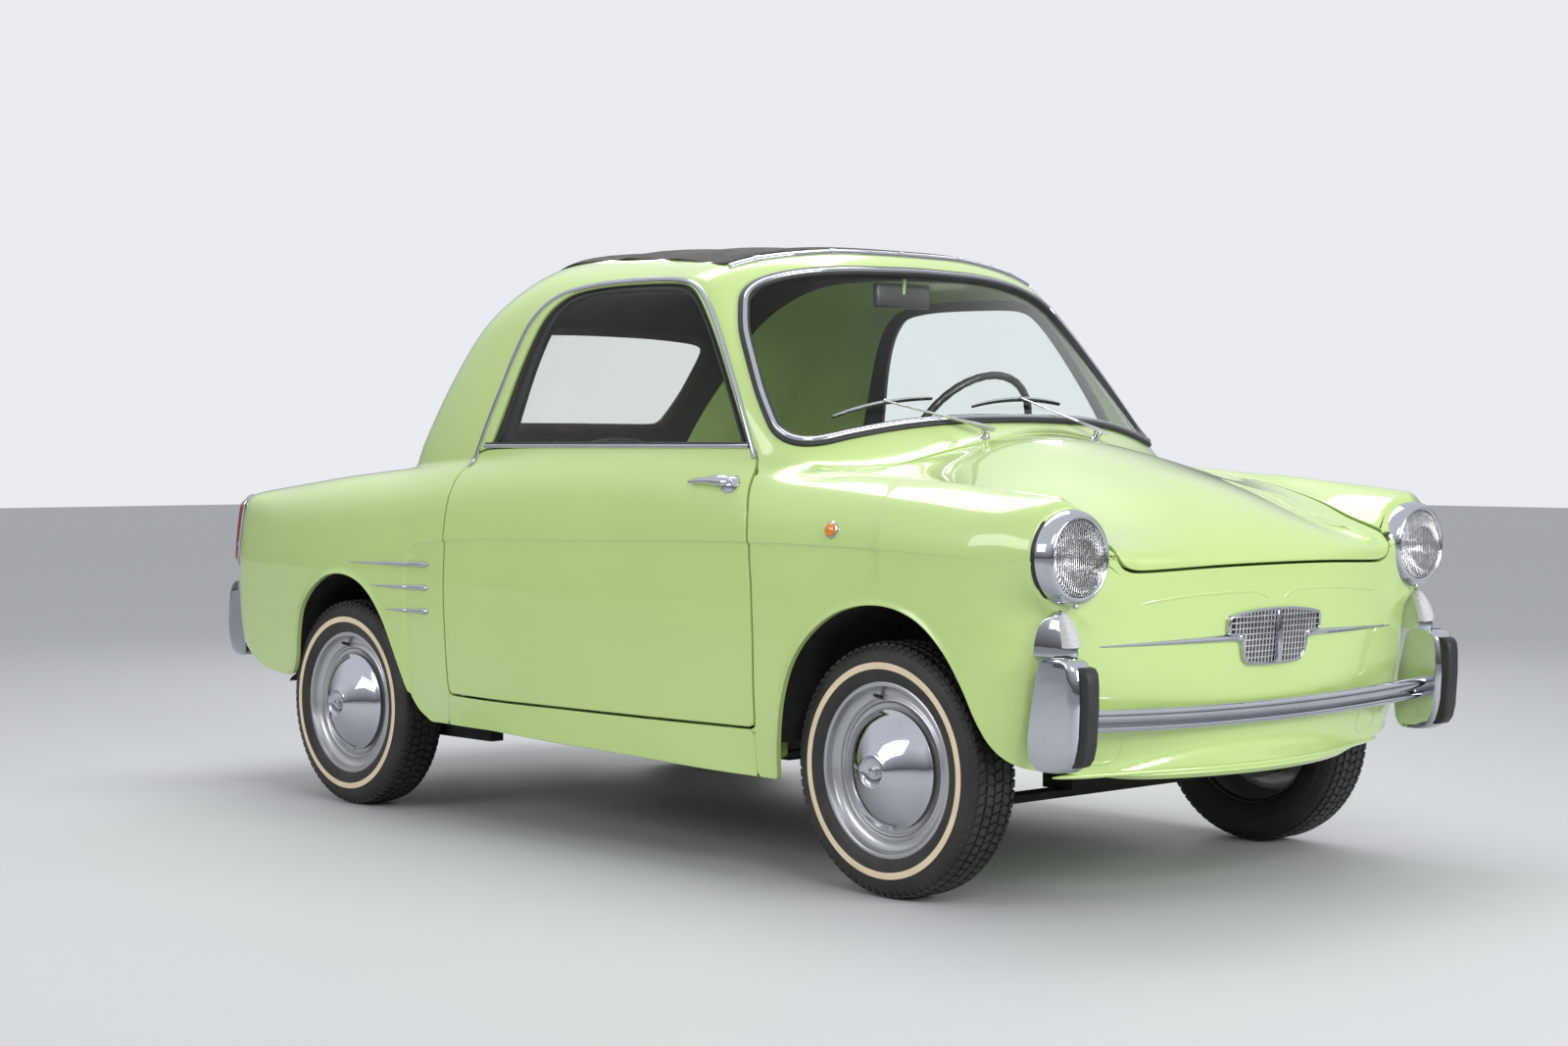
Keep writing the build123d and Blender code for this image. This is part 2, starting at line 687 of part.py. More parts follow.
spring_low = 155
spring_thickness = 15
with BuildPart() as leaf_spring:
    spring_high = spring_low + spring_thickness
    add(block((x_front - 25, x_front + 25), (-y_king_pin, y_king_pin), (spring_low, spring_high)))
    for side in (-1, 1):
        add(eye(side * y_king_pin, spring_low, spring_thickness))
        with Locations((x_front, side * y_king_pin, spring_low)):
            Cylinder(king_pin_radius + pin_clearance, 100, mode=Mode.SUBTRACT)
    add(block((x_front - 40, x_front + 40), (-120, 120), (spring_high, 400)))
save(leaf_spring, "front_leaf_spring")

arm_low = king_high + 6
with BuildPart() as front_arms:
    for side in (-1, 1):
        near = side * (arch_wall_front + sheet)
        low_y, high_y = sorted((near, side * y_king_pin))
        add(block((x_front - 15, x_front + 15), (low_y, high_y), (arm_low, arm_low + 14)))
        add(eye(side * y_king_pin, arm_low, 14))
        with Locations((x_front, side * y_king_pin, arm_low)):
            Cylinder(king_pin_radius + pin_clearance, 60, mode=Mode.SUBTRACT)
save(front_arms, "front_arms")

arm_y = y_rear_wheel - 95
with BuildPart() as rear_swing_arms:
    for side in (-1, 1):
        low_y, high_y = sorted((side * (arm_y - 18), side * (arm_y + 18)))
        add(block((x_rear - 25, x_rear + 400), (low_y, high_y), (ground_clearance - 30, ground_clearance)))
        add(block((x_rear - 25, x_rear + 25), (low_y, high_y), (ground_clearance - 30, tyre_radius + 30)))
        stub_end = (x_rear, side * (y_rear_wheel + 8), tyre_radius)
        add(rod((x_rear, side * arm_y, tyre_radius), stub_end, stub_radius))
save(rear_swing_arms, "rear_swing_arms")

# ---------------------------------------------------------------- wheels
def wheel(corner, x, y, side):
    """Tyre and rim of one wheel, turned about the axle. The rim carries its hub cap."""
    out = 1 if side > 0 else -1
    plane = Plane(origin=(x, y, tyre_radius), x_dir=(0, out, 0), z_dir=(out, 0, 0))
    axle = Axis((x, y, tyre_radius), (0, 1, 0))
    with BuildPart() as tyre:
        with BuildSketch(plane):
            with BuildLine():
                Polyline((-46, rim_radius), (46, rim_radius))
                Spline((46, rim_radius), (half_tyre, rim_radius + 42), (half_tyre - 14, tyre_radius - 4))
                Polyline((half_tyre - 14, tyre_radius - 4), (half_tyre - 22, tyre_radius),
                         (22 - half_tyre, tyre_radius), (14 - half_tyre, tyre_radius - 4))
                Spline((14 - half_tyre, tyre_radius - 4), (-half_tyre, rim_radius + 42), (-46, rim_radius))
            make_face()
        revolve(axis=axle)
    save(tyre, f"{corner}_tyre")
    bore = stub_radius + pin_clearance
    with BuildPart() as rim:
        with BuildSketch(plane):
            with BuildLine():
                Polyline((-46, rim_radius), (-46, rim_radius - 8), (-5, rim_radius - 25), (-5, 90), (-28, 90),
                         (-28, bore), (10, bore), (10, 0), (47, 0), (47, 8), (38, 30), (24, 88), (14, 92),
                         (10, 120), (20, 145), (24, rim_radius - 12), (46, rim_radius - 8), (46, rim_radius),
                         close=True)
            make_face()
        revolve(axis=axle)
    save(rim, f"{corner}_rim")

wheel("front_left", x_front, y_front_wheel, 1)
wheel("front_right", x_front, -y_front_wheel, -1)
wheel("rear_left", x_rear, y_rear_wheel, 1)
wheel("rear_right", x_rear, -y_rear_wheel, -1)
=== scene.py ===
# %% [markdown]
# # A small two-door car with a folding fabric roof
#
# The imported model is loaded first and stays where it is: it gives every size, axle and hinge.
# What is added here is the look of the car: pressed panels, trim, glass, lamps, tyres, cloth and seats.
# All lengths are in metres. +X is the front of the car, +Y its left side and +Z is up.

# %% Load the frame
from math import cos, pi, radians, sin, sqrt

import bpy
import numpy as np
from mathutils import Matrix, Vector


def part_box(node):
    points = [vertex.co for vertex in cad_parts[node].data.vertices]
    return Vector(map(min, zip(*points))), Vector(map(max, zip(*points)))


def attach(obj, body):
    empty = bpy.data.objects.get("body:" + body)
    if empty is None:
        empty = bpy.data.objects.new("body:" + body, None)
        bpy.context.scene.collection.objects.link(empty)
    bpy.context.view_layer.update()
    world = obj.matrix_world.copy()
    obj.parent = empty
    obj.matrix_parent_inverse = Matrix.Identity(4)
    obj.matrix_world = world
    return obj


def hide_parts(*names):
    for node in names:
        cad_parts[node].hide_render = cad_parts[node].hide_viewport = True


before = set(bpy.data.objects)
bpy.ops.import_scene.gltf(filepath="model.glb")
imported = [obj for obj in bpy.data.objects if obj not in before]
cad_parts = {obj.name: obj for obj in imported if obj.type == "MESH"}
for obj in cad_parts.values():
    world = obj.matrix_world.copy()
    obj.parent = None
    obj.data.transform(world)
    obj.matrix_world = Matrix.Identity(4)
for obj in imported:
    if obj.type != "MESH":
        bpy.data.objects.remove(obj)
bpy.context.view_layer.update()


def centre_of(node):
    """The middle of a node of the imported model."""
    return Vector([(a + b) / 2 for a, b in zip(*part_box(node))])


print("axles at", *(round(centre_of(f"{end}_left_tyre").x, 4) for end in ("front", "rear")))

# %% [markdown]
# ## Camera, lamps and floor
#
# A camera is placed by its position and the way it looks, with a lens length for its field of view.
# A pale floor, a bright sky and large soft lamps show gloss paint well, because large lamps make long,
# soft highlights. The sky that the camera sees is lighter than the sky that lights the car. Chrome needs
# something darker to mirror, so for shine alone the sky dims towards the horizon.

# %% Camera
camera_place = Vector((4.598, -4.2078, .8692))
camera_yaw, camera_pitch, camera_roll = radians(137.244), radians(-1.647), radians(.064)
camera_lens = 60.86

look = Vector((cos(camera_pitch) * cos(camera_yaw), cos(camera_pitch) * sin(camera_yaw), sin(camera_pitch)))
right = look.cross(Vector((0, 0, 1))).normalized()
up = right.cross(look)
right, up = cos(camera_roll) * right + sin(camera_roll) * up, cos(camera_roll) * up - sin(camera_roll) * right
camera_turn = Matrix((right, up, -look)).transposed()
bpy.ops.object.camera_add(location=camera_place, rotation=camera_turn.to_euler())
camera = bpy.context.object
camera.data.sensor_width = 36
camera.data.lens = camera_lens
bpy.context.scene.camera = camera
bpy.context.scene.view_settings.view_transform = "Standard"


# %% Lamps, sky and floor
def soft_lamp(place, target, size, power):
    """A large rectangular lamp that points at the target."""
    bpy.ops.object.light_add(type="AREA", location=place)
    lamp = bpy.context.object
    lamp.data.shape = "RECTANGLE"
    lamp.data.size, lamp.data.size_y = size
    lamp.data.energy = power
    lamp.rotation_euler = (Vector(target) - Vector(place)).to_track_quat("-Z", "Y").to_euler()


soft_lamp((-.6, .3, 3.6), (-.1, 0, 0), (3.0, 1.4), 68)
soft_lamp((4.2, -2.2, 2.8), (.6, 0, .6), (1.3, 1.0), 40)
soft_lamp((5.4, .9, 1.9), (1.2, 0, .5), (2.2, 1.3), 95)
soft_lamp((-.2, -4.6, 2.3), (-.1, 0, .6), (3.0, 1.2), 44)
soft_lamp((-3.4, 3.4, 2.6), (0, 0, .6), (2.4, 1.6), 50)

world = bpy.data.worlds.new("studio")
bpy.context.scene.world = world
world.use_nodes = True
sky = world.node_tree.nodes["Background"]
sky.inputs["Color"].default_value = (.86, .88, .92, 1)


def add_node(tree, kind, **inputs):
    """A new node. Each input gets a number or a colour, or the output of another node."""
    node = tree.nodes.new("ShaderNode" + kind)
    for name, value in inputs.items():
        socket = node.inputs[name.replace("_", " ")]
        if isinstance(value, bpy.types.NodeSocket):
            tree.links.new(value, socket)
        else:
            socket.default_value = value
    return node


def maths(operation, *values):
    """A math node of the sky, clamped to 0 and 1; each value is a number or the output of a node."""
    node = add_node(world.node_tree, "Math")
    node.operation, node.use_clamp = operation, True
    for socket, value in zip(node.inputs, values):
        if isinstance(value, float):
            socket.default_value = value
        else:
            world.node_tree.links.new(value, socket)
    return node.outputs[0]


ray = add_node(world.node_tree, "LightPath").outputs
direction = add_node(world.node_tree, "TexCoord").outputs["Generated"]
height = add_node(world.node_tree, "SeparateXYZ", Vector=direction).outputs["Z"]
through, shine = ray["Is Transmission Ray"], ray["Is Glossy Ray"]
seen = maths("MAXIMUM", maths("MAXIMUM", ray["Is Camera Ray"], through), shine)
lit_strength, seen_strength = .62, .95
dusk = maths("MULTIPLY_ADD", height, -2.0, .85)
light = maths("SUBTRACT", 1.0, maths("MULTIPLY", dusk, maths("SUBTRACT", shine, through)))
strength = maths("MULTIPLY_ADD", seen, seen_strength - lit_strength, lit_strength)
world.node_tree.links.new(maths("MULTIPLY", strength, light), sky.inputs["Strength"])

bpy.ops.mesh.primitive_plane_add(size=60)
floor = bpy.context.object
floor.name = "studio_floor"
floor_paint = bpy.data.materials.new("studio_floor")
floor_paint.use_nodes = True
floor_look = floor_paint.node_tree.nodes["Principled BSDF"].inputs
floor_look["Base Color"].default_value, floor_look["Roughness"].default_value = (.58, .59, .6, 1), .6
floor.data.materials.append(floor_paint)

# %% [markdown]
# ## The shape of the pressed body
#
# Body panels of a real car are pressed from flat steel over dies, and all of them together follow one
# flowing surface: light runs across a door gap without a jump. Primitives can't give such a surface.
# So the whole outside of the body is written once, as a function that is negative inside the car,
# zero on its skin and positive outside. Side, top, nose, tail, windscreen and roof are each a simple
# smooth function, and rounded maximums join them, as a die has a radius along each edge.

# %% Smooth curves and rounded joins
def curve(*points):
    """A smooth function through the points, straight beyond its ends (a natural cubic spline)."""
    place, value = np.array(points, float).T
    step, count = np.diff(place), len(place)
    rows, known = np.eye(count), np.zeros(count)
    for i in range(1, count - 1):
        rows[i, i - 1:i + 2] = step[i - 1], 2 * (step[i - 1] + step[i]), step[i]
        known[i] = 6 * ((value[i + 1] - value[i]) / step[i] - (value[i] - value[i - 1]) / step[i - 1])
    bend = np.linalg.solve(rows, known)

    def at(x):
        x = np.asarray(x, float)
        inside = np.clip(x, place[0], place[-1])
        i = np.clip(np.searchsorted(place, inside) - 1, 0, count - 2)
        a, b = place[i + 1] - inside, inside - place[i]
        h = step[i]
        middle = (bend[i] * a ** 3 + bend[i + 1] * b ** 3) / (6 * h)
        middle = middle + (value[i] / h - bend[i] * h / 6) * a + (value[i + 1] / h - bend[i + 1] * h / 6) * b
        slope = (bend[i + 1] * b ** 2 - bend[i] * a ** 2) / (2 * h)
        slope = slope + (value[i + 1] - value[i]) / h - (bend[i + 1] - bend[i]) * h / 6
        return middle + slope * (x - inside)
    return at


def ease(t):
    """0 below 0, 1 above 1 and smooth between."""
    t = np.clip(t, 0, 1)
    return t * t * (3 - 2 * t)


def round_max(a, b, reach):
    """The larger of two values, with a rounded change from one to the other."""
    near = np.maximum(reach - np.abs(a - b), 0) / reach
    return np.maximum(a, b) + near ** 3 * reach / 6


def round_min(a, b, reach):
    return -round_max(-a, -b, reach)


# %% Lower body: side, top, nose and tail
half_width = curve((-1.47, .588), (-1.2, .63), (-.84, .654), (-.4, .665), (.1, .6685), (.6, .6685), (1.0, .664),
    (1.25, .657), (1.45, .648))
tuck = curve((.15, .045), (.205, .031), (.25, .021), (.32, .01), (.42, .003), (.54, 0), (.66, .005), (.74, .0125),
    (.8, .023), (.84, .036), (.872, .053), (.9, .073), (.93, .1))
feature_height = curve((-.55, .64), (-.4, .655), (0, .668), (.5, .679), (.8, .68), (1.04, .676), (1.28, .666),
    (1.45, .657))
crest_side = .56
crest = curve((-1.47, .742), (-1.4, .754), (-1.2, .778), (-.95, .805), (-.6, .836), (-.35, .866), (-.1, .882),
    (.2, .886), (.45, .874), (.6, .849), (.68, .836), (.75, .829), (.86, .823), (.98, .814), (1.09, .806),
    (1.2, .794), (1.31, .781), (1.42, .765), (1.5, .752))
valley_depth = curve((-1.5, 0), (.2, 0), (.7, 0), (.84, .004), (.95, .009), (1.05, .018), (1.155, .036),
    (1.234, .051), (1.3, .066), (1.37, .078), (1.43, .092), (1.5, .112))
valley_side = curve((-1.5, .5), (0, .52), (.7, .54), (.84, .534), (.95, .525), (1.05, .512), (1.155, .49),
    (1.234, .468), (1.3, .449), (1.37, .438), (1.5, .434))
dome = curve((-1.5, .74), (-1.2, .784), (-.95, .811), (-.6, .842), (-.2, .872), (.3, .895), (.6, .913), (.822, .903),
    (.953, .882), (1.032, .864), (1.111, .843), (1.19, .822), (1.285, .793), (1.38, .748), (1.43, .709),
    (1.468, .651), (1.5, .58))
nose_line = curve((.15, 1.362), (.205, 1.387), (.25, 1.4), (.32, 1.424), (.4, 1.4425), (.48, 1.453), (.56, 1.4595),
    (.62, 1.465), (.68, 1.47), (.76, 1.474))
tail_line = curve((.25, -1.36), (.32, -1.42), (.4, -1.456), (.5, -1.465), (.6, -1.462), (.68, -1.45), (.74, -1.436),
    (.85, -1.4))


def feature_line(x, z):
    """How far a point is below the pressed line on the side, rounded where the line ends at the rear."""
    return round_min(feature_height(x) - z, (x + .545) * 1.1, .09)


def lower_body(x, y, z):
    side = np.abs(y)
    below = feature_line(x, z)
    press = .006 * ease(below / .007) * np.exp(-np.maximum(below, 0) / .22)
    wall = side - half_width(x) + tuck(z) + press

    valley = crest(x) - valley_depth(x)
    hump = np.cos(pi / 2 * np.minimum(side / valley_side(x), 1)) ** 2
    rise = np.sin(pi / 2 * np.clip((side - valley_side(x)) / (crest_side - valley_side(x)), 0, 1)) ** 2
    outside = side - crest_side
    width = .012 + .05 * ease((.2 - x) / .6)
    outside = (outside + np.sqrt(outside ** 2 + width ** 2)) / 2
    lid = valley + (dome(x) - valley) * hump + valley_depth(x) * rise - .35 * outside - 3 * outside ** 2
    top = z - lid

    nose = x - nose_line(z) + .227 * y ** 2
    tail = tail_line(z) + .11 * y ** 2 - x
    ends = round_max(round_max(wall, nose, .22), tail, .13)
    return round_max(ends, top, .085 - .045 * ease((x - 1.2) / .2) - .05 * ease((-1.1 - x) / .25))


# %% Windscreen, side windows and roof
cabin_half = curve((-.9, .44), (-.76, .5), (-.6875, .53), (-.5, .577), (-.3, .602), (0, .611), (.3, .61), (.45, .606),
    (.55, .599), (.65, .586), (.75, .565), (.9, .52))
cabin_tuck = curve((.8, -.004), (.84, 0), (.872, .004), (1.0, .025), (1.12, .049), (1.21, .072), (1.26, .094),
    (1.32, .13))
screen_slope = -.971
screen_base = (.822, .907)
screen_bow = curve((.8, .545), (.92, .535), (1.05, .51), (1.15, .48), (1.25, .43), (1.32, .4))
back_line = curve((.8, -.78), (.872, -.7715), (1.0, -.7415), (1.12, -.6975), (1.21, -.6475), (1.27, -.585),
    (1.32, -.5))
back_bow = curve((.8, .045), (.872, .08), (.905, .1), (.987, .143), (1.079, .19), (1.168, .247), (1.22, .3),
    (1.3, .4))
roof_line = curve((-.9, 1.15), (-.7, 1.222), (-.55, 1.271), (-.4, 1.301), (-.25, 1.3155), (-.1, 1.3195), (0, 1.3185),
    (.2, 1.312), (.4, 1.3025), (.55, 1.291), (.8, 1.265))


def cabin(x, y, z):
    side = np.abs(y)
    wall = side - cabin_half(x) + cabin_tuck(z)
    screen = x - screen_base[0] - screen_slope * (z - screen_base[1]) + screen_bow(z) * y ** 2
    screen = screen / sqrt(1 + screen_slope ** 2)
    back = (back_line(z) + back_bow(z) * 4 * y ** 2 - x) / 1.15
    top = z - roof_line(x) + .04 * (side / .45) ** 3.4
    around = round_max(round_max(wall, screen, .065), back, .1)
    return round_max(around, top, .045 + .06 * ease((.4 - x) / .3) + .06 * ease((-.1 - x) / .4))


lamp_place = (1.39, .542, .667)         # where the wing ends in a round lip for the headlamp


def lamp_pod(x, y, z):
    around = np.hypot(np.abs(y) - lamp_place[1], z - lamp_place[2]) - .0955
    return np.maximum(round_max(around, x - lamp_place[0], .016), 1.05 - x)


def body(x, y, z):
    """Negative inside the car, 0 on its skin, positive outside."""
    lower = round_min(lower_body(x, y, z), lamp_pod(x, y, z), .075)
    return round_min(lower, cabin(x, y, z), .012 + .03 * ease((x + .3) / .3))


def slope(points):
    """Unit vectors that point straight out of the skin."""
    reach = .0004
    out = np.empty_like(points)
    for axis in range(3):
        shift = np.zeros(3)
        shift[axis] = reach
        out[:, axis] = body(*(points + shift).T) - body(*(points - shift).T)
    return out / np.linalg.norm(out, axis=1)[:, None]


def settle(points, turns=3):
    """Moves points onto the skin."""
    for _ in range(turns):
        out = slope(points)
        reach = .0004
        rate = (body(*(points + out * reach).T) - body(*(points - out * reach).T)) / (2 * reach)
        points = points - out * (body(*points.T) / np.maximum(rate, .3))[:, None]
    return points


# %% [markdown]
# ## From the function to a mesh
#
# Rays start on a line low inside the car and run outwards to where the function turns positive. They
# stand in planes across the car along its middle, and fan out at the nose and the tail, so the mesh
# flows along the body. Each ray stops on the skin by halving: thirty halvings are exact enough.

# %% Master skin
ray_floor, ray_reach = .1, 1.9      # the height that the rays start at, and their length
fan_front, fan_rear = 1.12, -1.12
mesh_step = .0125


def halve(start, way, near, far, turns, outwards=1):
    """Where rays that are on one side of the skin at near, and on the other at far, pass through it."""
    for _ in range(turns):
        half = (near + far) / 2
        passed = outwards * body(*(start + way * half[:, None]).T) > 0
        far, near = np.where(passed, half, far), np.where(passed, near, half)
    return start + way * near[:, None]


def master_skin():
    """Points and quads of the whole outside, with rows of even spacing."""
    middle = np.arange(fan_rear, fan_front, mesh_step)
    fan = np.linspace(0, pi / 2, int(.62 / mesh_step))[1:-1]
    rows = [(fan_rear, -turn) for turn in fan[::-1]] + [(x, 0) for x in middle] + [(fan_front, turn) for turn in fan]
    rows = np.array(rows)
    rough = np.radians(np.linspace(4, 176, 260))
    across = int(3.3 / mesh_step) // 2 * 2 + 1

    def shoot(angles):
        x = np.repeat(rows[:, 0], angles.shape[1])
        turn = np.repeat(rows[:, 1], angles.shape[1])
        angle = angles.ravel()
        start = np.stack([x, 0 * x, 0 * x + ray_floor], 1)
        way = np.stack([np.sin(turn), np.cos(turn) * np.cos(angle), np.cos(turn) * np.sin(angle)], 1)
        return halve(start, way, 0 * x, 0 * x + ray_reach, 30).reshape(len(rows), -1, 3)

    first = shoot(np.repeat(rough[None], len(rows), 0))
    along = np.zeros(first.shape[:2])
    along[:, 1:] = np.cumsum(np.linalg.norm(np.diff(first, axis=1), axis=2), axis=1)
    angles = np.array([np.interp(np.linspace(0, a[-1], across), a, rough) for a in along])
    points = shoot(angles)
    i = np.arange(len(rows) * across).reshape(len(rows), across)
    quads = np.stack([i[:-1, :-1], i[:-1, 1:], i[1:, 1:], i[1:, :-1]], -1).reshape(-1, 4)
    return points.reshape(-1, 3), quads


skin_points, skin_quads = master_skin()
skin_faces = np.concatenate([skin_quads[:, [0, 1, 2]], skin_quads[:, [0, 2, 3]]])
print("master skin:", len(skin_points), "points,", len(skin_faces), "triangles")


# %% [markdown]
# ## Cutting panels out of the skin
#
# A door, a bonnet or a wing is a part of the master skin inside an outline. Outlines are measured in a
# side, top or front view. Each point of the skin is given its distance to the outline, triangles are
# split where that distance is 0, and what is outside goes. The edge is rolled in with a small radius, a
# flange goes inwards from it, and an inner skin closes the panel. The light on a pressed panel shows the
# smallest unevenness, so the normals come from the function, not from the triangles.

# %% Outlines
def smooth_line(points, closed=True, parts=6):
    """A smooth line through the points; a point that is given twice makes a corner."""
    points = np.array(points, float)
    count = len(points)
    line = []
    for i in range(count if closed else count - 1):
        if closed:
            a, b, c, d = (points[(i + k) % count] for k in (-1, 0, 1, 2))
        else:
            a, b, c, d = points[max(i - 1, 0)], points[i], points[i + 1], points[min(i + 2, count - 1)]
        if np.allclose(b, c):
            continue
        for t in np.arange(parts) / parts:
            line.append(.5 * (2 * b + (c - a) * t + (2 * a - 5 * b + 4 * c - d) * t ** 2
                              + (3 * b - 3 * c + d - a) * t ** 3))
    if not closed:
        line.append(points[-1])
    return np.array(line)


def inside(loop, axes, where=None):
    """A function that gives the distance of points inside a loop, negative outside, seen along one axis."""
    start = np.array(loop, float)
    end = np.roll(start, -1, 0)
    edge = end - start
    low, high = start.min(0) - .06, start.max(0) + .06

    def distance(points):
        flat = np.stack([np.abs(points[:, 1]) if axis == 1 else points[:, axis] for axis in axes], 1)
        result = np.full(len(flat), -.1)
        near = np.all((flat > low) & (flat < high), 1)
        if where is not None:
            near &= where(points)
        picked = np.flatnonzero(near)
        for part in np.array_split(picked, len(picked) // 20000 + 1):
            q = flat[part][:, None] - start
            along = np.clip((q * edge).sum(2) / (edge ** 2).sum(1), 0, 1)
            gap = np.sqrt(((q - along[..., None] * edge) ** 2).sum(2).min(1))
            above = start[:, 1] > flat[part][:, 1:]
            cross = above != (end[:, 1] > flat[part][:, 1:])
            turn = edge[:, 0] * q[..., 1] - edge[:, 1] * q[..., 0]
            odd = (cross & ((turn > 0) == above)).sum(1) % 2 == 1
            result[part] = np.where(odd, gap, -gap)
        return result
    return distance


# %% Splitting and rolling
def gauge(field, points):
    """Distance to the outline measured along the skin, and the way towards the outline."""
    flat = field(points)
    far, way = flat.copy(), np.zeros_like(points)
    near = np.abs(flat) < .05
    p = points[near]
    out = slope(p)
    a = np.cross(out, (.31, .52, .79))
    a /= np.linalg.norm(a, axis=1)[:, None]
    b = np.cross(out, a)
    reach = .0006
    rates = [(field(p + side * reach) - field(p - side * reach)) / (2 * reach) for side in (a, b)]
    rate = np.maximum(np.hypot(*rates), .3)
    far[near] /= rate
    way[near] = -(a * (rates[0] / rate)[:, None] + b * (rates[1] / rate)[:, None])
    return far, way


def split(points, faces, value, level, snap=.12, done=()):
    """Splits triangles where the value of their points passes the level; near corners move there instead."""
    high = value > level
    odd_count = high[faces].sum(1)
    mixed = (odd_count == 1) | (odd_count == 2)
    cut, rest = faces[mixed], faces[~mixed]
    if not len(cut):
        return points, faces, value
    odd = np.argmax(high[cut] == (odd_count[mixed] == 1)[:, None], 1)
    row = np.arange(len(cut))
    top, one, two = cut[row, odd], cut[row, (odd + 1) % 3], cut[row, (odd + 2) % 3]
    pairs = np.sort(np.concatenate([np.stack([top, one], 1), np.stack([top, two], 1)]), 1)
    edges, place = np.unique(pairs, axis=0, return_inverse=True)
    place = place.ravel()
    i, j = edges.T
    t = (level - value[i]) / (value[j] - value[i])
    new = np.arange(len(edges)) + len(points)
    added = settle(points[i] + (points[j] - points[i]) * t[:, None], 2)
    points = np.concatenate([points, added])
    value = np.concatenate([value, np.full(len(edges), float(level))])
    free = ~np.isin(value, done)
    new = np.where((t < snap) & free[i], i, np.where((t > 1 - snap) & free[j], j, new))
    value[new] = level
    a, b = new[place[:len(cut)]], new[place[len(cut):]]
    faces = np.concatenate([rest, np.stack([top, a, b], 1), np.stack([a, one, two], 1), np.stack([a, two, b], 1)])
    whole = (faces[:, 0] != faces[:, 1]) & (faces[:, 1] != faces[:, 2]) & (faces[:, 0] != faces[:, 2])
    return points, faces[whole], value


def compact(points, faces, *more):
    used, faces = np.unique(faces, return_inverse=True)
    return (points[used], faces.reshape(-1, 3)) + tuple(m[used] for m in more)


def refine(points, faces, field, levels, cut=False):
    """Splits triangles at some distances from an outline, and moves the new corners exactly there."""
    far, way = gauge(field, points)
    for number, level in enumerate(levels):
        points, faces, far = split(points, faces, far, level, .02 if cut and level == 0 else .12, levels[:number])
        if cut and level == 0:
            faces = faces[(far[faces].min(1) >= 0) & (far[faces].max(1) > 0)]
    points, faces, far = compact(points, faces, far)
    held = np.isin(far, levels)
    target = far[held]
    for _ in range(2):
        real, way = gauge(field, points[held])
        shift = np.where(np.abs(real - target) < (.02 if cut else .004), real - target, 0)
        points[held] = settle(points[held] + way * shift[:, None], 1)
    far, way = gauge(field, points)
    far[held] = target
    return points, faces, far, way


def within(here, off, elsewhere=-.1):
    """The values of a field where it counts, and far from 0 elsewhere."""
    return np.where(here, np.clip(off, -.1, .1), elsewhere)


def crest_field(points):
    off = np.abs(points[:, 1]) - crest_side
    return np.where((points[:, 2] > .62) & (points[:, 0] > -.35) & (points[:, 0] < 1.36), off, -.1)


def press_field(points):
    return np.where(points[:, 2] > .35, feature_line(points[:, 0], points[:, 2]), .1)


def cabin_foot_field(points):
    """0 along the foot of the cabin, where its walls meet the deck and the scuttle."""
    return within(points[:, 2] > .75, lower_body(*points.T) - cabin(*points.T))


def back_field(points):
    """Levels on the back of the cabin, where rays are far apart."""
    here = (points[:, 0] < -.62) & (points[:, 0] > -.84) & (points[:, 2] > .84) & (np.abs(points[:, 1]) < .5)
    return within(here, points[:, 2] - .895)


for field, levels in ((back_field, (-.012, .003, .018, .036)), (cabin_foot_field, (-.03, -.012, 0, .012, .03)),
                      (crest_field, (-.008, .001, .009)), (press_field, (.0003, .0036, .0072))):
    skin_points, skin_faces, _, _ = refine(skin_points, skin_faces, field, levels)
print("split skin:", len(skin_points), "points,", len(skin_faces), "triangles")


# %% Making a mesh
def add_mesh(name, points, faces, material, rides="body", normals=None, replaced=(), smooth=True):
    """A finished piece from points and faces, with its normals if they are known."""
    mesh = bpy.data.meshes.new(name)
    mesh.from_pydata(points, [], faces)
    mesh.materials.append(material)
    if smooth:
        mesh.shade_smooth()
    if normals is not None:
        mesh.normals_split_custom_set(normals)
    made = bpy.data.objects.new(name, mesh)
    bpy.context.scene.collection.objects.link(made)
    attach(made, rides)
    if replaced:
        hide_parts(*replaced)
    print(name, len(mesh.polygons), "faces")
    return made


# %% Panels
roll_radius = .003


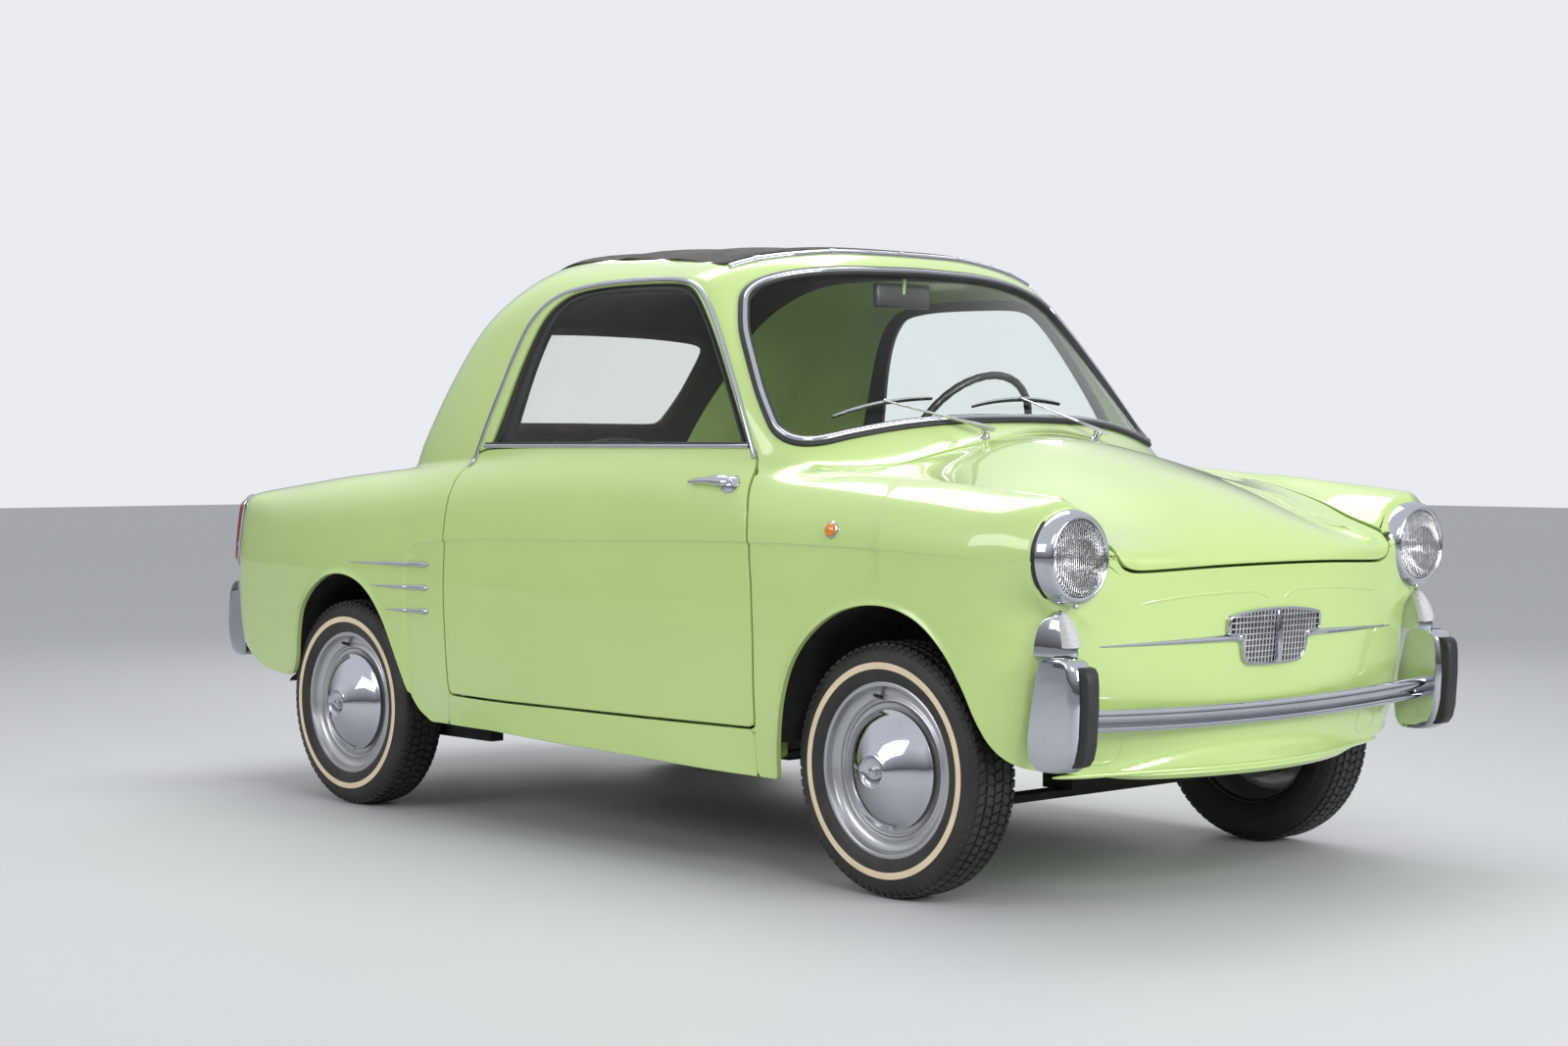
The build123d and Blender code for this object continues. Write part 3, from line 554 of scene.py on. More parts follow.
def panel(name, field, material, rides="body", thick=.006, edge=.014, lift=0, roll=roll_radius, lip=None, where=None,
          replaced=()):
    """A pressed panel: the skin inside an outline, with a rolled edge, a flange and an inner skin."""
    points, faces = skin_points, skin_faces
    flat = field(points)
    faces = faces[flat[faces].max(1) > -.03]
    if where is not None:
        faces = faces[where(points[faces].mean(1))]
    points, faces = compact(points, faces)
    points, faces, far, way = refine(points, faces, field, (0, roll, roll * .5, roll * .134), cut=True)
    rim = far == 0

    out = slope(points)
    turn = np.clip((roll - far) / roll, 0, 1)
    level = np.sqrt(1 - turn ** 2)
    normals = out * level[:, None] + way * turn[:, None]
    rise = lift(points) if callable(lift) else np.full(len(points), float(lift))
    if lip is not None:
        opening, height, reach = lip
        from_opening, away = gauge(opening, points)
        s = np.clip(1 + from_opening / reach, 0, 1)
        s[from_opening > .002] = 0
        rise = rise + height * s ** 2
        normals = normals + away * (2 * height / reach * s)[:, None]
        normals /= np.linalg.norm(normals, axis=1)[:, None]
    outer = points + out * (rise - roll * (1 - level))[:, None]
    edge = edge(points) if callable(edge) else edge
    depth = thick + (edge - thick) * ease(1.6 - far / .02)
    inner = points + out * (rise - depth)[:, None]

    count = len(points)
    edges = np.concatenate([faces[:, [0, 1]], faces[:, [1, 2]], faces[:, [2, 0]]])
    code = edges[:, 0] * count + edges[:, 1]
    border = edges[~np.isin(code, edges[:, 1] * count + edges[:, 0])]
    a, b = border.T
    walls = np.stack([b, a, a + count, b + count], 1)
    every = np.concatenate([outer, inner])
    corners = every[walls]
    plain = np.cross(corners[:, 2] - corners[:, 0], corners[:, 3] - corners[:, 1])
    plain /= np.maximum(np.linalg.norm(plain, axis=1), 1e-12)[:, None]
    on_rim = (rim[a] & rim[b])[:, None, None]
    facing = np.where(on_rim, way[np.stack([b, a, a, b], 1)], plain[:, None, :])
    loops = np.concatenate([part.reshape(-1, 3) for part in (normals[faces], -out[faces[:, ::-1]], facing)])
    all_faces = faces.tolist() + (faces[:, ::-1] + count).tolist() + walls.tolist()
    return add_mesh(name, every, all_faces, material, rides, loops, replaced)


# %% [markdown]
# ## Outlines of the openings
#
# Each outline is a loop of points seen from the side, the front or above. Openings in the fixed body are
# a little larger than the panels that lie in them, so an even gap shows all round.

# %% Doors and windows
door_loop = smooth_line([(-.366, .83), (-.374, .8), (-.381, .765), (-.386, .725), (-.39, .68), (-.391, .634),
    (-.388, .545), (-.384, .432), (-.382, .345), (-.381, .318), (-.376, .307), (-.36, .303), (-.2, .302), (0, .3035),
    (.3, .305), (.55, .3065), (.645, .307), (.66, .31), (.667, .32), (.668, .39), (.669, .489), (.662, .586),
    (.653, .64), (.647, .69), (.642, .735), (.634, .765), (.624, .793), (.614, .822), (.607, .841), (.597, .857),
    (.583, .868), (.55, .8725), (.45, .8735), (.2, .8735), (0, .87), (-.2, .8655), (-.29, .862), (-.335, .853),
    (-.357, .843)])
window_loop = smooth_line([(-.27, .8), (-.3, .845), (-.291, .872), (-.258, .943), (-.226, 1.022), (-.194, 1.093),
    (-.16, 1.15), (-.122, 1.187), (-.07, 1.212), (.022, 1.2235), (.154, 1.226), (.276, 1.221), (.332, 1.209),
    (.372, 1.182), (.426, 1.118), (.485, 1.033), (.54, .943), (.577, .877), (.584, .848), (.56, .8)])
glass_loop = smooth_line([(-.236, .84), (-.222, .878), (-.199, .958), (-.172, 1.048), (-.141, 1.12), (-.106, 1.167),
    (-.062, 1.195), (.022, 1.208), (.13, 1.2105), (.26, 1.206), (.322, 1.195), (.362, 1.168), (.414, 1.105),
    (.471, 1.02), (.526, .928), (.561, .862), (.57, .84)])
side_window_trim_points = [(-.357, .822), (-.318, .909), (-.276, .998), (-.237, 1.084), (-.2, 1.146), (-.154, 1.188),
    (-.094, 1.213), (.006, 1.227), (.143, 1.2305), (.267, 1.2265), (.335, 1.2155), (.379, 1.191), (.427, 1.136),
    (.488, 1.047), (.548, .95), (.602, .846)]

door_field = inside(door_loop, (0, 2))
window_field = inside(window_loop, (0, 2))
glass_field = inside(glass_loop, (0, 2))
gap = .0052


def door_opening(points):
    return np.maximum(door_field(points) + gap, window_field(points))


# %% Windscreen, bonnet, lid and fabric roof
def both_sides(half):
    """A loop that is the same on both sides, from its half with positive first values, top to bottom."""
    half = [tuple(p) for p in half]
    return half + [(-a, b) for a, b in half[::-1] if a > 0]


screen_loop = smooth_line(both_sides([(0, 1.2595), (.103, 1.258), (.221, 1.255), (.332, 1.2445), (.406, 1.2295),
    (.453, 1.212), (.486, 1.188), (.507, 1.155), (.529, 1.108), (.546, 1.05), (.562, .984), (.571, .925),
    (.572, .896), (.564, .879), (.545, .872), (.509, .8745), (.44, .889), (.343, .905), (.237, .916), (.126, .9205),
    (0, .922)]))
screen_field = inside(screen_loop, (1, 2), lambda p: p[:, 0] > .2)

bonnet_rear = curve((-.1, .867), (0, .868), (.15, .86), (.3, .84), (.42, .828), (.534, .826), (.6, .83))
bonnet_front = curve((-.1, .6465), (0, .647), (.2, .6445), (.34, .64), (.4, .64), (.46, .645), (.6, .65))


def bonnet_field(points):
    x, y, z = points[:, 0], np.abs(points[:, 1]), points[:, 2]
    side = valley_side(x) - y
    front = np.where(x > 1.25, z - bonnet_front(y), .1)
    rear = (x - bonnet_rear(y)) * .98
    result = round_min(round_min(side, front, .075), rear, .03)
    return within((z > .6) & (x > .7), result)


lid_low, lid_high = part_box("engine_lid")
print("engine lid", [round(v, 4) for v in (*lid_low, *lid_high)])
# The skin of the lid runs a little past the hinge line, where it turns in under the body as the lid opens.
lid_half, lid_bottom, lid_top = lid_high[1], lid_low[2], lid_high[2] + .0195
lid_loop = smooth_line(both_sides([
    (0, lid_top), (lid_half * .6, lid_top - .001), (lid_half - .07, lid_top - .004), (lid_half - .02, lid_top - .02),
    (lid_half, lid_top - .065), (lid_half + .002, (lid_top + lid_bottom) / 2), (lid_half, lid_bottom + .05),
    (lid_half - .018, lid_bottom + .014), (lid_half - .06, lid_bottom), (0, lid_bottom)]))
lid_field = inside(lid_loop, (1, 2), lambda p: p[:, 0] < -1.1)

fabric_half = curve((-.8, .34), (-.705, .372), (-.611, .405), (-.5, .412), (-.3, .414), (-.15, .415), (-.07, .415),
    (.085, .428), (.225, .449), (.33, .47), (.4, .476))
header_line = curve((-.1, .432), (0, .433), (.1, .43), (.18, .421), (.31, .408), (.39, .394), (.47, .382), (.5, .377))


def fabric_field(points):
    x, y, z = points[:, 0], np.abs(points[:, 1]), points[:, 2]
    result = round_min(fabric_half(x) - y, header_line(y) - .008 - x, .03)
    result = round_min(result, np.minimum(z - .846, .1), .03)
    return within((z > .8) & (x > -.85), result)


pane_loop = smooth_line(both_sides([(0, 1.166), (.15, 1.163), (.25, 1.155), (.3, 1.145), (.322, 1.126), (.325, 1.09),
    (.312, 1.01), (.288, .948), (.268, .924), (.235, .918), (.15, .917), (0, .917)]))
pane_field = inside(pane_loop, (1, 2), lambda p: p[:, 0] < -.3)

# %% Wheel arches and lower edge
front_arch_loop = smooth_line([(.7, .02), (.715, .12), (.723, .2), (.731, .27), (.753, .37), (.784, .443),
    (.831, .498), (.893, .54), (.96, .562), (1.027, .567), (1.086, .557), (1.142, .531), (1.194, .484), (1.232, .425),
    (1.257, .367), (1.279, .32), (1.3, .291), (1.322, .274), (1.35, .262), (1.38, .2), (1.38, .02)])
rear_arch_loop = smooth_line([(-1.2, .02), (-1.15, .24), (-1.1, .292), (-1.065, .309), (-1.044, .345), (-1.034, .396),
    (-1.012, .464), (-.965, .515), (-.904, .549), (-.85, .561), (-.791, .559), (-.73, .541), (-.677, .505),
    (-.632, .454), (-.598, .397), (-.568, .341), (-.542, .292), (-.512, .256), (-.475, .237), (-.445, .224),
    (-.42, .18), (-.4, .02)])


def arch_field(points):
    return np.maximum(front_arch(points), rear_arch(points))


front_arch = inside(front_arch_loop, (0, 2), lambda p: np.abs(p[:, 1]) > .3)
rear_arch = inside(rear_arch_loop, (0, 2), lambda p: np.abs(p[:, 1]) > .3)
lower_edge = ((-1.5, .39), (-1.4, .385), (-1.36, .368), (-1.31, .34), (-1.247, .314), (-1.18, .302), (-1.144, .299),
    (-1.05, .3), (-.45, .231), (-.2, .232), (.016, .225), (.316, .219), (.527, .211), (.713, .206), (1.1, .21),
    (1.25, .27), (1.3, .285), (1.325, .266), (1.345, .254), (1.4, .25), (1.5, .248))


def lower_field(points):
    height = points[:, 2] - np.interp(points[:, 0], *np.array(lower_edge).T)
    return np.clip(height, -.1, .1)


def seam_field(points):
    """The two welds of the sill, below the ends of the door."""
    x = points[:, 0]
    off = np.minimum(np.abs(x - .667), np.abs(x + .384)) - .0006
    return within((points[:, 2] < .3) & (np.abs(points[:, 1]) > .5), off, .1)


def fixed_body(points):
    """Positive on the skin of the fixed body, away from every opening."""
    result = np.minimum(lower_field(points), seam_field(points))
    for opening, margin in ((door_opening, 0), (arch_field, 0), (lamp_opening, 0), (screen_field, -.008),
                            (bonnet_field, gap), (lid_field, gap), (fabric_field, -.012)):
        result = np.minimum(result, -opening(points) - margin)
    return result


def lamp_opening(points):
    """The round holes for the headlamps, in the flat ends of the wings."""
    off = .084 - np.hypot(np.abs(points[:, 1]) - lamp_place[1], points[:, 2] - lamp_place[2])
    return np.clip(np.minimum(off, points[:, 0] - lamp_place[0] + .012), -.1, .1)

# %% [markdown]
# ## Finishes
#
# No real surface has one flat colour. Each finish here changes a little in tone and gloss over the
# surface, by noise on Object coordinates, and most have a fine bump for grain, orange peel or scratches.
# One helper makes them all, so they differ only in numbers, and the few with a pattern add it after.

# %% A helper for finishes
def finish(name, color, rough, tone=.06, tone_scale=5, grain=0, grain_scale=900, metal=0, coat=0, change=.2):
    """A finish whose tone and gloss change over the surface, with grain of a depth in metres as a bump."""
    material = bpy.data.materials.new(name)
    material.use_nodes = True
    tree = material.node_tree
    shader = tree.nodes["Principled BSDF"]
    place = add_node(tree, "TexCoord").outputs["Object"]

    def noise(scale, detail):
        return add_node(tree, "TexNoise", Vector=place, Scale=scale, Detail=detail).outputs["Fac"]

    ramp = add_node(tree, "ValToRGB", Fac=noise(tone_scale, 4))
    for element, position, share in zip(ramp.color_ramp.elements, (.32, .68), (1 - tone, 1 + tone)):
        element.position, element.color = position, [min(1, c * share) for c in color] + [1]
    tree.links.new(ramp.outputs["Color"], shader.inputs["Base Color"])
    gloss = add_node(tree, "MapRange", Value=noise(tone_scale * 3.1, 5), To_Min=rough * (1 - change),
                     To_Max=min(1, rough * (1 + change)))
    tree.links.new(gloss.outputs[0], shader.inputs["Roughness"])
    for setting, value in (("Metallic", metal), ("Coat Weight", coat), ("Coat Roughness", .03)):
        shader.inputs[setting].default_value = value
    if grain:
        add_bump(material, noise(grain_scale, 2), grain)
    return material


def add_bump(material, height, depth):
    """A bump on top of any that the material has."""
    tree = material.node_tree
    before = tree.nodes.get("Bump")
    bump = add_node(tree, "Bump", Height=height, Distance=depth)
    if before:
        tree.links.new(before.outputs[0], bump.inputs["Normal"])
    tree.links.new(bump.outputs[0], tree.nodes["Principled BSDF"].inputs["Normal"])


def thread_height(material, direction, pitch, distortion=.0):
    """The height of even ridges across a direction, one to each pitch."""
    place = material.node_tree.nodes["Texture Coordinate"].outputs["Object"]
    wave = add_node(material.node_tree, "TexWave", Vector=place, Scale=.314 / pitch, Distortion=distortion)
    wave.bands_direction = direction
    return wave.outputs["Fac"]


def weave(material, pitch, depth):
    """Adds the bump of crossing threads to a finish that has a bump."""
    total, *others = [thread_height(material, direction, pitch, .6) for direction in "XYZ"]
    for other in others:
        add = add_node(material.node_tree, "Math")
        for socket, height in zip(add.inputs, (total, other)):
            material.node_tree.links.new(height, socket)
        total = add.outputs[0]
    add_bump(material, total, depth)


# %% The finishes of the car
paint = finish("lime_paint", (.525, .7, .245), .3, .02, 2.2, .00003, 420, coat=1)
inner_paint = finish("inner_paint", (.36, .55, .15), .34, .05, 5, .00005, 500, coat=.4)
chrome = finish("chrome", (.54, .555, .6), .05, .04, 14, .00002, 160, metal=1, change=.5)
dull_chrome = finish("dull_chrome", (.6, .6, .61), .2, .08, 30, metal=1, change=.4)
rubber = finish("rubber", (.018, .018, .019), .48, .25, 20, .0001, 700)
tyre_rubber = finish("tyre_rubber", (.021, .0205, .02), .55, .3, 14, .00016, 520)
whitewall = finish("whitewall", (.8, .66, .46), .5, .06, 18, .00008, 500)
wheel_silver = finish("wheel_silver", (.46, .47, .48), .3, .05, 5, .00004, 700, metal=.75, coat=.5)
roof_cloth = finish("roof_cloth", (.036, .031, .029), .78, .16, 7, .0003, 300)
lining_cloth = finish("lining_cloth", (.03, .026, .024), .85, .2, 5, .0003, 350)
binding = finish("binding", (.06, .043, .036), .6, .2, 30, .0003, 500)
black_plastic = finish("black_plastic", (.014, .014, .016), .22, .2, 5, .00004, 800, coat=.4)
seat_cloth = finish("seat_cloth", (.024, .026, .03), .6, .15, 12, .0003, 400)
piping = finish("piping", (.22, .23, .24), .5, .1, 5, .0001)
carpet = finish("carpet", (.02, .02, .021), .95, .35, 60, .0016, 480)
underseal = finish("underseal", (.012, .012, .012), .85, .4, 25, .0012, 90)
bare_steel = finish("bare_steel", (.2, .195, .19), .45, .25, 30, .0003, 200, metal=.8)
amber = finish("amber_lens", (.8, .22, .012), .12, .06, 5, .0004, 200, coat=1)
red_glass = finish("red_lens", (.36, .008, .01), .12, .08, 5, .0004, 160, coat=1)
weave(roof_cloth, .0016, .0002)
weave(lining_cloth, .002, .0002)
weave(seat_cloth, .0024, .0003)
print(len(bpy.data.materials), "materials")


# %% Glass
def clear_glass(name, color, rough=0, ribs=None, bend=1.45):
    """Glass that light passes to reach what is behind it; ribs=(axis, pitch, depth) moulds flutes in it."""
    material = finish(name, color, .02 + rough, .01, 5, .00001, 30)
    tree = material.node_tree
    shader = tree.nodes["Principled BSDF"]
    shader.inputs["Transmission Weight"].default_value = 1
    shader.inputs["IOR"].default_value = bend
    if ribs:
        axis, pitch, depth = ribs
        bump = add_node(tree, "Bump", Height=thread_height(material, axis, pitch), Distance=depth)
        tree.links.new(bump.outputs[0], shader.inputs["Normal"])
    shadow = add_node(tree, "LightPath").outputs["Is Shadow Ray"]
    through = add_node(tree, "BsdfTransparent", Color=(.93, .95, .93, 1))
    pick = add_node(tree, "MixShader", Fac=shadow)
    tree.links.new(shader.outputs[0], pick.inputs[1])
    tree.links.new(through.outputs[0], pick.inputs[2])
    tree.links.new(pick.outputs[0], tree.nodes["Material Output"].inputs["Surface"])
    return material


window_glass = clear_glass("window_glass", (.95, .98, .96), bend=1.18)
lamp_glass = clear_glass("lamp_glass", (.98, .98, .98), .01, ribs=("Y", .0052, .0014))
side_lamp_glass = clear_glass("side_lamp_glass", (.86, .85, .84), .16, ribs=("Z", .004, .0012))
side_lamp_glass.node_tree.nodes["Principled BSDF"].inputs["Transmission Weight"].default_value = .28
pane_plastic = clear_glass("pane_plastic", (.93, .93, .9), .05)

# %% Body panels
middle_row = .1


def rear_edge(points):
    """The depth of the rear flanges: less above the engine lid, where the top of the lid swings in."""
    return .014 - .0085 * ease((points[:, 2] - .685) / .02) * (points[:, 0] < -1.36)


panel("front_body", fixed_body, paint, lip=(arch_field, .004, .02), where=lambda p: p[:, 0] > middle_row,
      replaced=("nose_panel", "left_front_wing", "right_front_wing", "screen_frame"))
panel("rear_body", fixed_body, paint, lip=(arch_field, .005, .022), where=lambda p: p[:, 0] <= middle_row,
      edge=rear_edge, replaced=("left_rear_quarter", "right_rear_quarter", "rear_panel"))
panel("bonnet_skin", bonnet_field, paint, "bonnet", replaced=("bonnet",))
panel("engine_lid_skin", lid_field, paint, "engine_lid", replaced=("engine_lid",))
sides = (("left", 1), ("right", -1))
for side, sign in sides:
    panel(f"{side}_door_skin", door_field, paint, f"{side}_door", thick=.038, edge=.042,
          where=lambda p: p[:, 1] * sign > 0, replaced=(f"{side}_door",))


# %% [markdown]
# ## Trim that follows the skin
#
# Rubber and chrome strips are drawn through a die, so they have one cross-section along a line on the
# body. A curve with a bevel turns its profile as it likes at corners, so the strips are swept by hand:
# each point of the line gets the outward direction of the skin and the direction across the strip.

# %% Helpers for swept trim
beside, before, behind, above = 1.2, 1.62, -1.7, 1.6       # where lines start outside the body


def drop(start, way, reach):
    """Where lines that come from outside first meet the skin."""
    start, way = np.array(start, float), np.array(way, float)
    way = np.broadcast_to(way / np.linalg.norm(way), start.shape)
    steps = np.linspace(0, reach, 120)
    depth = body(*(start + way * steps[:, None, None]).reshape(-1, 3).T).reshape(len(steps), -1)
    first = np.argmax(depth < 0, 0)
    return halve(start, way, steps[np.maximum(first - 1, 0)], steps[first], 16, -1)


def on_skin(x, y, z, way, reach):
    """Places on the skin, met by lines from outside; x, y and z are numbers or rows of numbers."""
    start = np.broadcast_arrays(*(np.atleast_1d(np.asarray(v, float)) for v in (x, y, z)))
    return settle(drop(np.stack(start, -1), way, reach))


def side_line(x, z, sign):
    """Places on the side of the body."""
    return on_skin(x, sign * beside, z, (0, -sign, 0), 1.0)


def evenly(path, pitch, closed=False):
    """The same line with evenly spaced points."""
    path = np.concatenate([path, path[:1]]) if closed else np.array(path)
    along = np.concatenate([[0], np.cumsum(np.linalg.norm(np.diff(path, axis=0), axis=1))])
    count = max(int(along[-1] / pitch), 3)
    places = np.linspace(0, along[-1], count + 1)
    if closed:
        places = places[:-1]
    return np.stack([np.interp(places, along, path[:, i]) for i in range(path.shape[1])], 1)


def sweep(name, path, out, profile, material, rides="body", closed=False, size=None, **more):
    """A closed profile (across, outward) swept along a line; size scales it at each point."""
    path, out = np.array(path, float), np.array(out, float)
    out = np.broadcast_to(out, path.shape)
    way = np.roll(path, -1, 0) - np.roll(path, 1, 0) if closed else np.gradient(path, axis=0)
    way /= np.linalg.norm(way, axis=1)[:, None]
    out = out - way * (out * way).sum(1)[:, None]
    out /= np.linalg.norm(out, axis=1)[:, None]
    size = np.ones(len(path)) if size is None else np.array(size, float)
    over, up = (np.array(profile, float).T * size[:, None, None]).transpose(1, 0, 2)[..., None]
    rings = path[:, None] + np.cross(way, out)[:, None] * over + out[:, None] * up
    return loft(name, rings, material, rides, closed=closed, **more)


def loft(name, rings, material, rides="body", closed=False, soft=40, replaced=(), slot=None):
    """A closed shell through rings of points: capped at both ends, or closed to a ring itself."""
    rings = np.array(rings, float)
    count, around = rings.shape[:2]
    i = np.arange(count * around).reshape(count, around)
    if closed:
        i = np.concatenate([i, i[:1]])
    next_i = np.roll(i, -1, 1)
    quads = np.stack([i[:-1], i[1:], next_i[1:], next_i[:-1]], -1).reshape(-1, 4).tolist()
    if not closed:
        quads += [list(range(around))[::-1], list(range((count - 1) * around, count * around))]
    made = add_mesh(name, rings.reshape(-1, 3), quads, material, rides, replaced=replaced, smooth=False)
    tidy_up(made, soft)
    return made


def pick(*objects):
    """Selects only these objects and makes the first one active."""
    bpy.ops.object.select_all(action="DESELECT")
    for one in objects:
        one.select_set(True)
    bpy.context.view_layer.objects.active = objects[0]


def tidy_up(made, soft=40, weld=.00001):
    """Welds points, turns all faces outwards and shades the piece smooth, but not over its sharp edges."""
    pick(made)
    bpy.ops.object.mode_set(mode="EDIT")
    bpy.ops.mesh.select_all(action="SELECT")
    bpy.ops.mesh.remove_doubles(threshold=weld)
    bpy.ops.mesh.normals_make_consistent(inside=False)
    bpy.ops.object.mode_set(mode="OBJECT")
    bpy.ops.object.shade_smooth_by_angle(angle=radians(soft))


def bar_profile(half, height, sunk=.002, flat=.35, parts=6):
    """A low rounded strip: half its width, its height, and how deep its foot is sunk."""
    turns = np.linspace(0, pi, 2 * parts + 1)
    crown = [(half * cos(t), height * (flat + (1 - flat) * sin(t))) for t in turns[1:-1]]
    return [(half, -sunk), (half, height * flat * .3)] + crown + [(-half, height * flat * .3), (-half, -sunk)]


def round_profile(radius, parts=12):
    return [(radius * cos(t), radius * sin(t)) for t in np.arange(parts) * 2 * pi / parts]


# %% [markdown]
# ## Windscreen, rubber and chrome
#
# The windscreen is a bent pane in a rubber profile that grips the body's flange. A narrow chrome strip
# is pressed into a groove of the rubber, and so it stands a little above it.

# %% Windscreen
screen_line = evenly(drop(np.array([(1.6, y, z) for y, z in screen_loop]), (-1, 0, 0), 1.5), .008, closed=True)
screen_line = settle(screen_line)
for name, inwards, profile, material in (("screen_rubber", .009, bar_profile(.0125, .0085, .01), rubber),
                                         ("screen_chrome", .0105, bar_profile(.0062, .0112, -.004), chrome)):
    _, way = gauge(screen_field, screen_line)
    line = settle(screen_line - way * inwards)
    sweep(name, line, slope(line), profile, material, closed=True)
panel("windscreen_glass", lambda p: screen_field(p) - .013, window_glass, thick=.004, edge=.004, lift=-.002,
      roll=.001, replaced=("windscreen",))

# %% Side windows: black frame and glass in the door, chrome trim on the body
def window_frame(side, sign):
    """A black rubber channel that fills the space between the opening and the glass."""
    edge = evenly(np.array([p for p in glass_loop if p[1] > .858]), .009)
    outline = evenly(window_loop, .002, closed=True)
    nearest = np.argmin(np.linalg.norm(outline[None] - edge[:, None], axis=2), 1)
    wide = outline[nearest]
    wide += (wide - edge) / np.linalg.norm(wide - edge, axis=1)[:, None] * .004
    near, far = (side_line(*line.T, sign) for line in (edge, wide))
    out = slope(near)
    section = ((1, -.024), (1, -.0085), (.9, -.0065), (.6, -.006), (.55, -.009), (.42, -.009), (.36, -.006),
        (.12, -.007), (0, -.01), (0, -.022))
    rings = np.stack([near + (far - near) * across + out * height for across, height in section], 1)
    loft(f"{side}_window_frame", rings, rubber, f"{side}_door", soft=35)


for side, sign in sides:
    window_frame(side, sign)
    panel(f"{side}_window_glass", lambda p: np.minimum(glass_field(p) + .005, p[:, 2] - .848), window_glass,
          f"{side}_door", thick=.004, edge=.004, lift=-.01, roll=.0008, where=lambda p: p[:, 1] * sign > 0)
    line = evenly(side_line(*smooth_line(side_window_trim_points, closed=False).T, sign), .008)
    sweep(f"{side}_window_trim", line, slope(line), bar_profile(.0056, .005, .001), chrome)
    belt = side_line(np.linspace(-.312, .583, 90), .868, sign) + np.array([0, sign * .0005, .002])
    sweep(f"{side}_belt_chrome", belt, slope(belt), bar_profile(.0042, .005, .001), chrome, f"{side}_door")
    seal = belt + np.array([0, -sign * .006, .0045])
    sweep(f"{side}_belt_seal", seal, slope(belt), bar_profile(.004, .006, .003), rubber, f"{side}_door")

# %% [markdown]
# ## Fabric roof
#
# The roof is one sheet of heavy woven cloth over a few steel bows, and its rear part holds a clear soft
# pane. It lies a little proud of the steel, sags between the bows, and pulls in at its seams. The cloth
# is cut from the same skin as the steel, and then lifted by a function that draws bows and sag.

# %% Cloth, lining and pane
first_bow, bow_pitch = .4, .2


def cloth_lift(points):
    x, side = points[:, 0], np.abs(points[:, 1])
    sag = .0022 * np.cos((x - first_bow) / bow_pitch * 2 * pi) * ease((x + .62) / .2)
    edge_tuck = -.0014 * ease(1 - (fabric_half(x) - side) / .03)
    ripple = .0007 * np.sin(x * 61 + side * 23) * ease((side - .25) / .15)
    seam = .0012 * np.exp(-((side - .33) / .004) ** 2) * (x > -.55)
    return .0036 + sag + edge_tuck + ripple + seam


def cloth_only(points):
    return np.minimum(fabric_field(points), -pane_field(points) - .001)


roof = panel("roof_cloth", cloth_only, roof_cloth, thick=.0022, edge=.0022, lift=cloth_lift, roll=.0015,
             replaced=("soft_top",))
panel("rear_pane", lambda p: pane_field(p) + .008, pane_plastic, thick=.0012, edge=.0012, lift=.0012, roll=.0006,
      replaced=("rear_window",))
pane_line = evenly(on_skin(-1.5, *pane_loop.T, (1, 0, 0), 1.3), .01, closed=True)
out = slope(pane_line)
sweep("pane_binding", pane_line + out * .0036, out, bar_profile(.009, .0022, .001), binding, closed=True,
      slot="fabric_top")
panel("roof_lining", lambda p: cloth_only(p) - .01, lining_cloth, thick=.002, edge=.002, lift=-.014, roll=.001)
sweep("pane_inner_binding", pane_line - out * .01, -out, bar_profile(.014, .003, .002), binding, closed=True,
      slot="fabric_top")

foot = evenly(on_skin(-1.5, np.linspace(-.325, .325, 70), .85, (1, 0, 0), 1.0), .008)
sweep("roof_foot_strip", foot, slope(foot), bar_profile(.0075, .006, .002), rubber)
y = np.linspace(-.468, .468, 110)
header = on_skin(header_line(np.abs(y)), y, above, (0, 0, -1), .8)
sweep("header_chrome", header, slope(header), bar_profile(.0075, .0065, .001), chrome)
for i, y in enumerate((-.4, -.2, 0, .2, .4)):
    near = np.argmin(np.abs(header[:, 1] - y))
    part = header[near - 1:near + 2]
    sweep(f"header_clip_{i}", part, slope(part), bar_profile(.0082, .0078, .001), dull_chrome)

# %% [markdown]
# ## Hardware by hand
#
# Hardware is modelled from primitives: a circle laid on an outline and spun for turned pieces, a box
# with rounded edges for plates, and a cone for rods. The helpers do the steps that a modeller repeats:
# add the primitive in place, shape it in edit mode, apply it and give it its finish and its body.

# %% Helpers for hardware
def modify(made, kind, **settings):
    """Gives a piece a modifier with these settings, and applies it."""
    modifier = made.modifiers.new(kind.lower(), kind)
    for setting, value in settings.items():
        setattr(modifier, setting, value)
    bpy.ops.object.modifier_apply(modifier=modifier.name)


def keep(made, name, material, rides="body", replaced=(), slot=None, bevel=0, segments=2, soft=40):
    """Names a finished piece, rounds its edges, and gives it its finish and its body."""
    made.name = made.data.name = name
    pick(made)
    bpy.ops.object.transform_apply(location=True, rotation=True, scale=True)
    if bevel:
        modify(made, "BEVEL", width=bevel, segments=segments, limit_method="ANGLE", angle_limit=radians(30))
    bpy.ops.object.shade_smooth_by_angle(angle=radians(soft))
    made.data.materials.clear()
    made.data.materials.append(material)
    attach(made, rides)
    if replaced:
        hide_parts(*replaced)
    return made


